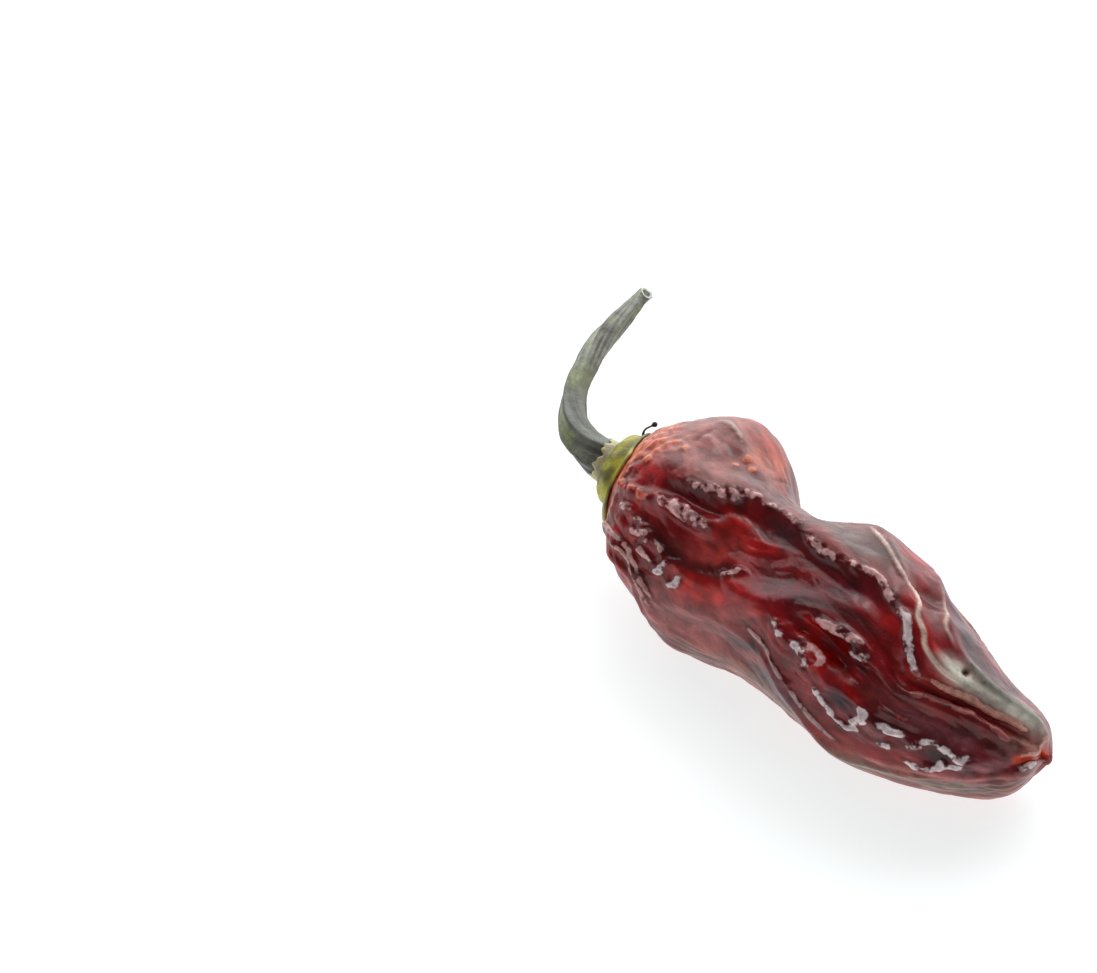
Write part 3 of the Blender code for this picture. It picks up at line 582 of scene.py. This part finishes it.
def wrinkles(skin, places):
    """Return how far wrinkles and soft swells lift the skin."""
    strength = WRINKLE_BASE + sum(patch_height(patch, skin) for patch in WRINKLED)
    long = np.abs(rough(places, *LONG_WRINKLES)) * 2 - WRINKLE_SINK
    fine = np.abs(rough(places, *FINE_WRINKLES)) * 2 - WRINKLE_SINK
    return strength * (LONG_HEIGHT * long + FINE_HEIGHT * fine) + SWELL_HEIGHT * rough(skin.places, *SWELLS)


def lay_strokes(skin, places, lift, colour, glints_and_marks):
    """Lay the strokes: a plain one tints the skin, a beaded one lays a painted glint or crisp mark in a ring
    of painted shade.
    """
    beads = grain(places, *BEADS)
    bumps = 0.7 * beads + 0.3 * grain(places, *GRIT)
    for width, line, tint, strength, *relief in STROKES:
        height, beaded = relief or (0, 0)
        share = fold_height(Fold(width, False, line), skin)
        lift += height * share * (1 + beaded * bumps)
        if beaded:
            blend(colour, SHADE_HALO_SHARE * np.clip(SHADE_HALO_REACH * share, 0, 1), NEAR_BLACK)
            lay_glint_or_mark(glints_and_marks, tint, strength * share * (1 + GLINT_AND_MARK_BEADS * beaded * beads))
        else:
            blend(colour, np.clip(strength * share, 0, 1), tint)


def lay_spots(skin, lift, colour, glints_and_marks):
    """Sink the red pits and raise the single warts."""
    for along, around, radius, height in PITS + WARTS:
        share = patch_height(Patch(along, around, radius, radius, 0, 1.0), skin)
        lift += height * share
        if height < 0:
            blend(colour, 0.9 * share, BLOOD_RED)
        else:
            lay_glint_or_mark(glints_and_marks, WART, share)


def pod_detail(skin):
    """Return how far wrinkles, warts and strokes lift the pod's skin, its colour with painted shade, and its
    painted glints and crisp marks.
    """
    places = skin.places + BEND * np.stack([rough(skin.places, *bend) for bend in BENDS], axis=-1)
    lift = wrinkles(skin, places)
    warts = np.clip(rough(places, *WART_LUMPS) * 2.2, -0.4, 1)
    warts = warts * np.clip(sum(patch_height(patch, skin) for patch in WARTY), 0, 1)
    lift += WART_HEIGHT * warts

    colour = np.broadcast_to(DEEP_RED, skin.places.shape).copy()
    blend(colour, np.clip(0.3 + 1.1 * rough(skin.places, *CLOUDS), 0, 0.9), DARK_RED)
    glints_and_marks = np.zeros((*skin.along.shape, 4))
    lay_strokes(skin, places, lift, colour, glints_and_marks)
    lay_glint_or_mark(glints_and_marks, WART, 0.9 * np.clip(warts, 0, 1))
    lay_spots(skin, lift, colour, glints_and_marks)

    patchy = grain(places, *TONE_PATCHES)
    lift += PATCH_HEIGHT * patchy
    colour *= (1 + PATCH_TONE * patchy + FLECK_TONE * grain(places, *TONE_FLECKS))[..., None]
    # Painted shade in the hollows: the deeper the skin sinks, the darker its colour.
    colour *= 1 - np.clip(-lift / SHADED_HOLLOW_DEPTH, 0, 1)[..., None] * HOLLOW_SHADE
    lift *= np.clip(skin.along / 2, 0, 1) * np.clip(skin.reach / 3 - 0.4, 0, 1)
    return lift, colour, glints_and_marks


# The camera, with its clips in metres, and the picture's axes on the table: away from it and right.
CAMERA_AZIMUTH = 45
CAMERA_ELEVATION = 40
CAMERA_DISTANCE = 349.8
CAMERA_LENS = 85.55
SENSOR_WIDTH = 36
CLIP_NEAR = 0.01
CLIP_FAR = 20
AWAY = np.array([-np.sin(np.radians(CAMERA_AZIMUTH)), np.cos(np.radians(CAMERA_AZIMUTH)), 0])
RIGHT = np.array([AWAY[1], -AWAY[0], 0])


def toward(azimuth, elevation):
    """Return the direction at an azimuth clockwise from the way the camera looks, and an elevation."""
    turn, rise = np.radians(azimuth), np.radians(elevation)
    return np.cos(rise) * (np.cos(turn) * AWAY + np.sin(turn) * RIGHT) + np.sin(rise) * UP


def placed(name, data):
    """Add an object with that data to the scene and return it."""
    item = bpy.data.objects.new(name, data)
    bpy.context.scene.collection.objects.link(item)
    return item


def piece(name, points, node, colours):
    """Make a closed piece from rings of points, with its colours on them, that may stand for a node."""
    rings, sides, _ = points.shape
    places = (points - (*BOX_MIDDLE, 0)).reshape(-1, 3) * MM
    shades = colours.reshape(-1, 3)
    row = np.arange(rings - 1)[:, None] * sides
    first = row + np.arange(sides)
    after = row + (np.arange(sides) + 1) % sides
    faces = np.stack([first, after, after + sides, first + sides], axis=-1).reshape(-1, 4).tolist()
    for start in (0, (rings - 1) * sides):
        middle = len(places)
        ring = np.arange(start, start + sides)
        places = np.vstack([places, places[ring].mean(axis=0)])
        shades = np.vstack([shades, shades[ring].mean(axis=0)])
        pairs = zip(ring.tolist(), np.roll(ring, -1).tolist())
        faces += [(b, a, middle) if start == 0 else (a, b, middle) for a, b in pairs]
    mesh = bpy.data.meshes.new(name)
    mesh.from_pydata(places.tolist(), [], faces)
    mesh.validate()
    mesh.shade_smooth()
    paint(mesh, "tone", np.hstack([shades, np.ones((len(shades), 1))]))
    item = placed(name, mesh)
    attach(item, "root")
    if node:
        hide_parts(node)
    return item


def paint(mesh, name, colours):
    """Keep a colour for each point of the mesh under a name."""
    layer = mesh.attributes.new(name, "FLOAT_COLOR", "POINT")
    layer.data.foreach_set("color", colours.ravel())


class Nodes:
    """A node tree, built call by call."""

    def __init__(self, owner):
        owner.use_nodes = True
        self.tree = owner.node_tree

    def add(self, kind, settings=None, **inputs):
        """Add a node, set its settings and its inputs, which may be links, and return it."""
        node = self.tree.nodes.new("ShaderNode" + kind)
        for key, value in (settings or {}).items():
            setattr(node, key, value)
        self.fill(node, inputs)
        return node

    def fill(self, node, inputs):
        """Set a node's inputs by their names or identifiers, to values or links."""
        for key, value in inputs.items():
            socket = next(s for s in node.inputs if s.identifier == key or s.name.replace(" ", "_") == key)
            if isinstance(value, bpy.types.NodeSocket):
                self.tree.links.new(value, socket)
            else:
                socket.default_value = value

    def maths(self, operation, first, second):
        """Return the result of a sum, a product or the like."""
        return self.add("Math", {"operation": operation}, Value=first, Value_001=second).outputs[0]

    def noise(self, scale, detail, rough):
        """Add noise over the object's own metres and return its value from 0 to 1."""
        place = self.add("TexCoord").outputs["Object"]
        node = self.add("TexNoise", None, Vector=place, Scale=scale, Detail=detail, Roughness=rough)
        return node.outputs["Fac"]

    def span(self, value, low, high, start, end):
        """Return value moved from low..high to start..end."""
        return self.add("MapRange", {"interpolation_type": "SMOOTHSTEP"}, Value=value, From_Min=low,
                        From_Max=high, To_Min=start, To_Max=end).outputs["Result"]

    def shaded(self, colour, value):
        """Return a colour made lighter or darker by a value."""
        return self.add("HueSaturation", None, Color=colour, Value=value).outputs["Color"]

    def bump(self, height, distance):
        """Return the normal over a height of so many metres."""
        return self.add("Bump", None, Height=height, Distance=distance).outputs["Normal"]


# Noise in the materials: scale to the metre, detail and roughness. Most of its values lie in the spread.
MOTTLE = 420, 4, 0.6
FRECKLES = 1500, 2, 0.6
GLINT_AND_MARK_BREAKS = 800, 2, 0.55
GLINT_AND_MARK_TONES = 1300, 2, 0.6
PORES = 2400, 3, 0.6
SPREAD = 0.3, 0.7


def with_glints_and_marks(nodes, colour):
    """Return the skin's colour with the piece's painted glints and crisp marks laid over it, broken up at
    their edges.
    """
    glints_and_marks = nodes.add("Attribute", {"attribute_name": "glints_and_marks"}).outputs
    breaks = nodes.span(nodes.noise(*GLINT_AND_MARK_BREAKS), *SPREAD, 0.45, 1.4)
    mask = nodes.span(nodes.maths("MULTIPLY", glints_and_marks["Alpha"], breaks), 0.34, 0.66, 0, 0.95)
    pale = nodes.shaded(glints_and_marks["Color"], nodes.span(nodes.noise(*GLINT_AND_MARK_TONES), *SPREAD, 0.8, 1.25))
    mix = nodes.add("Mix", {"data_type": "RGBA"}, Factor_Float=mask, A_Color=colour, B_Color=pale)
    return mix.outputs["Result"]


def skin_material(name, darkest, brightest, pores, lays_glints_and_marks=False, **shader):
    """Make a mottled material coloured by the piece's points, over pores so many metres deep."""
    material = bpy.data.materials.new(name)
    nodes = Nodes(material)
    tone = nodes.add("Attribute", {"attribute_name": "tone"}).outputs["Color"]
    mottle = nodes.span(nodes.noise(*MOTTLE), *SPREAD, darkest, brightest)
    freckle = nodes.span(nodes.noise(*FRECKLES), 0.52, 0.75, 1.0, 0.75)
    colour = nodes.shaded(tone, nodes.maths("MULTIPLY", mottle, freckle))
    if lays_glints_and_marks:
        colour = with_glints_and_marks(nodes, colour)
    normal = nodes.bump(nodes.noise(*PORES), pores)
    surface = material.node_tree.nodes["Principled BSDF"]
    nodes.fill(surface, {"Base_Color": colour, "Normal": normal, **shader})
    return material


def make_pod():
    """Make the pod with its painted glints, its crisp marks and its gloss."""
    turns = even_turns(POD_SIDES)
    turns = turns - np.degrees(FINE_SHARE) * np.sin(np.radians(turns - FINE_SIDE))
    points, skin = pod_skin(POD_RINGS, turns)
    lift, colours, glints_and_marks = pod_detail(skin)
    points = raised(points, lift)
    points[..., 2] = np.maximum(points[..., 2], 0)
    item = piece("pod_flesh", points[:-1], "pod", colours[:-1])
    paint(item.data, "glints_and_marks", np.vstack([glints_and_marks[:-1].reshape(-1, 4), glints_and_marks[0].mean(0), glints_and_marks[-2].mean(0)]))
    item.data.materials.append(skin_material(
        "pod_skin", 0.8, 1.2, 0.00007, lays_glints_and_marks=True, Roughness=0.45, Specular_IOR_Level=0.12,
        Coat_Weight=0.36, Coat_Roughness=0.15, Coat_IOR=1.6))


# The calyx: a cup on the shoulder. Heights are along the seat's axis, towards the stem.
GAP = 0.35
CALYX_CUP = [(4.85, 0.75), (4.6, 1.2), (4.2, 1.6), (3.7, 1.95), (3.2, 2.2), (2.85, 2.38)]
CALYX_HEIGHT = 2.45
CALYX_NECK_RADIUS = 2.7
CALYX_RIM_RADIUS = 5.0
CALYX_EDGE = 0.4
CALYX_BLUNT = 0.16
CALYX_RIBS = 10
CALYX_RIB = 0.12
TOOTH_LENGTH = 0.8
TOOTH_WIDTH = 13.0
TOP_TOOTH = -48
LONG_TOOTH = 104
TEETH = np.array([TOP_TOOTH, 24, LONG_TOOTH, 184, 256])
LONG_TOOTH_LENGTH = 2.6
CALYX_SIDES = 360
CALYX_STEPS = 4
SHOULDER_RINGS = 200
# How close the rim lies to the pod, and the section's rows under it, round it and over it.
RIM_GAP = 0.1
UNDER_ROWS = 5
OVER_SHARES = (1.0, 0.6, 0.2)
RIM_ROW = 6
# The ragged sleeve round the stem's foot: radius and height, then its waves: height, number and start.
SLEEVE = [(2.85, 0.3), (2.82, 0.7), (2.76, 1.0), (2.68, 1.0), (2.65, 0.6), (2.64, 0.1)]
SLEEVE_WAVES = [(0.25, 7, 0), (0.15, 16, 50)]

LEAF_GREEN = linear(188, 180, 56)
OLIVE = linear(112, 108, 34)
PALE_EDGE = linear(226, 214, 172)
BARK = linear(134, 136, 122)
BARK_DARK = linear(66, 54, 52)
MOSS = linear(158, 166, 108)
CUT_PALE = linear(206, 214, 190)
CALYX_BLOTCHES = (1.6, 1.6, 1.6), 12.0


def calyx_rim(turn):
    """Return the rim's radius at an angle round the calyx."""
    off = abs((turn - TEETH + 180) % 360 - 180) / TOOTH_WIDTH
    length = np.where(TEETH == LONG_TOOTH, TOOTH_LENGTH + LONG_TOOTH_LENGTH, TOOTH_LENGTH)
    return CALYX_RIM_RADIUS + float(np.sum(length * np.exp(-off**1.5)))


def calyx_section(turn, reach, height, steps):
    """Return the calyx's section at an angle round it: radius and height from seat to neck.

    The pod's skin at that angle has this reach and height outwards from the seat.
    """
    rim = calyx_rim(turn)
    wall = CALYX_CUP[0][0]
    rows = [(SEAT_RADIUS * 0.5, GAP)]
    for share in np.linspace(0, 1, UNDER_ROWS):
        out = SEAT_RADIUS - 0.2 + share * (rim - SEAT_RADIUS + 0.2)
        rows.append((out, np.interp(out, reach, height) + GAP + share * (RIM_GAP - GAP)))
    rows.append((rim + 0.5 * CALYX_BLUNT, rows[-1][1] + 0.5 * CALYX_EDGE))
    for share in OVER_SHARES:
        out = wall + share * (rim - wall)
        rows.append((out, np.interp(out, reach, height) + RIM_GAP + CALYX_EDGE))
    cup = smooth(CALYX_CUP, steps)
    share = np.linspace(0, 1, len(cup))
    rib = CALYX_RIB * np.cos(np.radians(CALYX_RIBS * turn)) * 4 * share * (1 - share)
    rows.extend(zip(cup[:, 0] + rib, cup[:, 1]))
    ragged = sum(high * np.sin(np.radians(waves * turn + start)) for high, waves, start in SLEEVE_WAVES)
    rows.extend((out, CALYX_HEIGHT + rise + min(1, rise) * ragged) for out, rise in SLEEVE)
    rows.append((CALYX_NECK_RADIUS * 0.5, CALYX_HEIGHT))
    return rows


def calyx_colours(points, grid, turn):
    """Return the calyx's colours: blotched green, pale at the top tooth's rim and round the neck."""
    colours = np.broadcast_to(LEAF_GREEN, points.shape).copy()
    blend(colours, np.clip(0.4 + 1.8 * rough(points, *CALYX_BLOTCHES), 0, 1), OLIVE)
    out = grid[..., 0] / CALYX_RIM_RADIUS
    rim = np.exp(-((np.arange(len(grid)) - RIM_ROW - 0.5) / 1.6) ** 2)[:, None]
    pale = 0.45 + 0.55 * np.exp(-((turn - np.radians(TOP_TOOTH % 360)) / 0.25) ** 2)
    blend(colours, pale * rim * np.clip(out - 0.9, 0, 0.4) / 0.4, PALE_EDGE)
    blend(colours, 0.7 * np.exp(-((out - 0.56) / 0.05) ** 2) * (grid[..., 1] > 1.5), PALE_EDGE)
    return colours


def make_calyx():
    """Make the calyx, fitted to the pod's shoulder, and the thread on its top tooth."""
    centre, ahead, side, top = frames(POD_SPINE, np.zeros(1))
    turns = even_turns(CALYX_SIDES)
    shoulder = pod_skin(SHOULDER_RINGS, turns)[0][:SHOULDER_RINGS // 8] - centre[0]
    height = -shoulder @ ahead[0]
    reach = np.linalg.norm(shoulder + height[..., None] * ahead[0], axis=-1)
    sections = [calyx_section(turns[i], reach[:, i], height[:, i], CALYX_STEPS) for i in range(CALYX_SIDES)]
    grid = np.array(sections).transpose(1, 0, 2)
    turn = np.radians(turns)
    points = centre[0] + grid[..., 0:1] * outward(turn, side, top) - grid[..., 1:2] * ahead[0]
    item = piece("calyx_cap", points, "calyx", calyx_colours(points, grid, turn))
    item.data.materials.append(skin_material("calyx_green", 0.7, 1.2, 0.00014, Roughness=0.5))
    make_thread(points[RIM_ROW, TOP_TOOTH % 360 * CALYX_SIDES // 360])


# Withered thread that stands on the top tooth and ends in a knob: right, up and radius from its foot.
THREAD = [(-0.9, -0.5, 0.2), (-0.85, 0.1, 0.16), (-0.6, 0.6, 0.13), (-0.2, 0.9, 0.13), (0.15, 1.1, 0.14),
          (0.35, 1.25, 0.3), (0.55, 1.35, 0.36), (0.75, 1.45, 0.26), (0.85, 1.5, 0.06)]
THREAD_STEPS = 4
THREAD_SIDES = 12
THREAD_LEAST = 0.05


def make_thread(foot):
    """Make the thread on a foot on the calyx's rim."""
    line = [(*(foot + right * RIGHT + up * UP), radius) for right, up, radius in THREAD]
    curve = smooth(line, THREAD_STEPS)
    spine = [row[:3] for row in line]
    whole = run_of(smooth(spine, SPINE_STEPS))[-1]
    centre, ahead, side, top = frames(spine, np.linspace(0, whole, len(curve)))
    radius = np.maximum(curve[:, 3], THREAD_LEAST)
    across = outward(np.radians(even_turns(THREAD_SIDES)), side, top)
    points = curve[:, None, :3] + radius[:, None, None] * across
    item = piece("calyx_thread", points, None, np.broadcast_to(BARK_DARK, points.shape))
    item.data.materials.append(skin_material("thread_bark", 0.75, 1.25, 0.0001, Roughness=0.6))


# The stem: x, y, z and radius from the calyx to the cut end.
STEM_LINE = [
    (10.9, -3.6, 14.9, 2.25), (8.6, -3.1, 15.2, 2.1), (5.9, -1.4, 15.4, 1.85),
    (3.7, 0.8, 15.6, 1.65), (1.9, 3.1, 15.9, 1.5), (0.3, 6.4, 16.4, 1.5), (-1.3, 10.1, 16.8, 1.55),
    (-2.5, 13.9, 17.1, 1.5), (-3.5, 17.8, 17.2, 1.25), (-4.5, 21.6, 17.2, 1.0),
    (-5.2, 24.9, 17.2, 0.95),
]
STEM_FOOT_RADIUS = 2.5
STEM_FOOT_RUN = 0.7
STEM_RIBS = 5
STEM_RIB_DEPTH = 0.09
STEM_TWIST = 130
STEM_RINGS = 240
STEM_SIDES = 72
# Noise in the bark: the sizes it changes over, along and across, and its seed.
FIBRES = (7, 0.5, 0.5), 4.0
DENTS = (1.2, 0.8, 0.8), 14.0
MOSS_PATCHES = (5, 2, 2), 40.0
FIBRE_HEIGHT = 0.12
DENT_HEIGHT = 0.05
# How light the bark is at shares of the stem's length.
STEM_LIGHT = (0, 0.35, 0.6, 0.8, 1), (0.7, 0.72, 1.6, 1.3, 1.0)
# Where moss green covers the stem's lit side, and over what length.
MOSS_PLACE = 15.5
MOSS_RUN = 2.2
# Which way the bark is lit from, and how far it darkens on the other side.
LIT_FROM = 0.8 * UP + 0.5 * RIGHT
SHADE = 0.6
# Which way the slanting cut faces, how steeply, and how far back from the end it bends the rings.
CUT_FACES = np.array([0.54, -0.54, 0.64])
CUT_SLANT = 2.2
CUT_RUN = 5.0
# The cut end: each ring's share of the end's size, how deep it lies, and its colour.
CUT_RINGS = [
    (0.94, -0.03, CUT_PALE), (0.72, 0.0, CUT_PALE), (0.62, 0.12, BARK_DARK), (0.35, 0.3, BARK_DARK),
]


def bark_colours(along, across, fibre, places):
    """Return the bark's colours: dark between its fibres, with shade painted on the side away from the
    light, mossy in places.
    """
    colours = np.broadcast_to(BARK, places.shape).copy()
    blend(colours, 0.8 * np.clip(0.3 + 1.7 * fibre, 0, 1), BARK_DARK)
    colours *= np.interp(along / along[-1], *STEM_LIGHT)[:, None, None]
    moss = np.clip(rough(places, *MOSS_PATCHES) * 2.2 - 0.5, 0, 0.6)
    band = np.exp(-((along - MOSS_PLACE) / MOSS_RUN) ** 2)[:, None]
    moss += 0.8 * band * np.clip(across @ CUT_FACES, 0, 1)
    blend(colours, np.clip(moss, 0, 0.9), MOSS)
    blend(colours, np.clip(-1.2 * (across @ LIT_FROM) - 0.1, 0, 1), BARK_DARK * SHADE)
    return colours


def cut_end(points, colours, ahead):
    """Close the stem's end with a pale ring round a dark hollow."""
    end = points[-1]
    middle = end.mean(axis=0)
    for share, depth, tint in CUT_RINGS:
        ring = middle + share * (end - middle) - depth * ahead[-1]
        points = np.concatenate([points, ring[None]])
        colours = np.concatenate([colours, np.broadcast_to(tint, (1, STEM_SIDES, 3))])
    return points, colours


def make_stem():
    """Make the ribbed stem from the calyx to its slanting cut end."""
    centre, ahead, side, top = frames(POD_SPINE, np.zeros(1))
    foot = centre[0] - (CALYX_HEIGHT + GAP) * ahead[0]
    straight = foot - STEM_FOOT_RUN * ahead[0]
    line = [(*foot, STEM_FOOT_RADIUS), (*straight, STEM_FOOT_RADIUS)] + STEM_LINE
    curve = smooth(line, OUTLINE_STEPS)
    run = run_of(curve)
    along = np.linspace(0, run[-1], STEM_RINGS)
    radius = read(curve, along, run)[:, 3]
    centre, ahead, side, top = frames([row[:3] for row in line], along)
    turn = np.radians(even_turns(STEM_SIDES))
    across = outward(turn, side, top)
    phase = turn[None] + (np.radians(STEM_TWIST) * along / along[-1])[:, None]
    ribs = 1 + STEM_RIB_DEPTH * np.cos(STEM_RIBS * phase)
    points = centre[:, None] + (radius[:, None] * ribs)[..., None] * across
    near_end = np.clip(1 - (along[-1] - along) / CUT_RUN, 0, 1) * radius
    back = CUT_SLANT * near_end[:, None] * (across @ CUT_FACES + 0.5)
    points -= back[..., None] * ahead[:, None]
    run_along = np.repeat(along[:, None], STEM_SIDES, axis=1)
    places = np.stack([run_along, 2 * np.cos(phase), 2 * np.sin(phase)], axis=-1)
    fibre = rough(places, *FIBRES)
    points = raised(points, FIBRE_HEIGHT * fibre + DENT_HEIGHT * rough(places, *DENTS))
    points, colours = cut_end(points, bark_colours(along, across, fibre, places), ahead)
    item = piece("stem_stalk", points, "stem", colours)
    item.data.materials.append(skin_material("stem_bark", 0.75, 1.25, 0.00012, Roughness=0.48))


def make_camera():
    """Look at the origin of the lines' plan, the middle of the photograph, from its angle."""
    data = bpy.data.cameras.new("camera")
    data.lens = CAMERA_LENS
    data.sensor_width = SENSOR_WIDTH
    data.clip_start = CLIP_NEAR
    data.clip_end = CLIP_FAR
    item = placed("camera", data)
    target = np.array([-BOX_MIDDLE[0], -BOX_MIDDLE[1], 0]) * MM
    item.location = target + toward(180, CAMERA_ELEVATION) * CAMERA_DISTANCE * MM
    item.rotation_euler = Vector(target - np.array(item.location)).to_track_quat("-Z", "Y").to_euler()
    bpy.context.scene.camera = item


# The room's light: radiance of the dark side, of the pale horizon and of the bright side behind the object.
ROOM = 0.1
HORIZON = 0.3
BACK = 2.7
# The bright side's azimuth from the way the camera looks and elevation. Each edge is a pair of cosines.
BACK_WAY = (10, 28)
BACK_EDGE = (0.5, 0.9)
HORIZON_EDGE = (0.08, 0.25)
# Windows: azimuth, elevation, half size in degrees, radiance, and how much of the size is blurred.
WINDOWS = [(10, 58, 8, 4.0), (-60, 55, 6, 2.5)]
WINDOW_BLUR = 0.3
COOL_WHITE = (0.97, 1.0, 1.0, 1)


def make_room():
    """Light the scene from a dim room with a bright side and two soft windows."""
    world = bpy.data.worlds.new("room")
    nodes = Nodes(world)
    way = nodes.add("TexCoord").outputs["Generated"]

    def facing(azimuth, elevation):
        direction = tuple(toward(azimuth, elevation))
        node = nodes.add("VectorMath", {"operation": "DOT_PRODUCT"}, Vector=way, Vector_001=direction)
        return node.outputs["Value"]

    light = nodes.span(facing(*BACK_WAY), *BACK_EDGE, ROOM, BACK)
    light = nodes.maths("ADD", light, nodes.span(facing(0, 90), *HORIZON_EDGE, HORIZON, 0))
    for azimuth, elevation, half, radiance in WINDOWS:
        rim = np.cos(np.radians(half))
        pane = nodes.span(facing(azimuth, elevation), rim, rim + WINDOW_BLUR * (1 - rim), 0, radiance)
        light = nodes.maths("ADD", light, pane)
    nodes.fill(world.node_tree.nodes["Background"], {"Color": COOL_WHITE, "Strength": light})
    bpy.context.scene.world = world
    bpy.context.scene.view_settings.view_transform = "Standard"


# The table: its colour, how much it glows, and in metres its half size and how far it lies below.
TABLE_COLOUR = (0.36, 0.37, 0.37, 1)
TABLE_GLOW = 0.8
TABLE_HALF = 3.0
TABLE_DROP = 0.00002


def make_floor():
    """Lay the pale table under the pepper."""
    material = bpy.data.materials.new("table_white")
    Nodes(material).fill(material.node_tree.nodes["Principled BSDF"], {
        "Base_Color": TABLE_COLOUR, "Roughness": 0.6, "Emission_Color": COOL_WHITE,
        "Emission_Strength": TABLE_GLOW})
    mesh = bpy.data.meshes.new("table_top")
    corners = [(x * TABLE_HALF, y * TABLE_HALF, 0) for x, y in ((-1, -1), (1, -1), (1, 1), (-1, 1))]
    mesh.from_pydata(corners, [], [(0, 1, 2, 3)])
    mesh.materials.append(material)
    item = placed("table_top", mesh)
    item.location.z = -TABLE_DROP


make_camera()
make_pod()
make_calyx()
make_stem()
make_floor()
make_room()
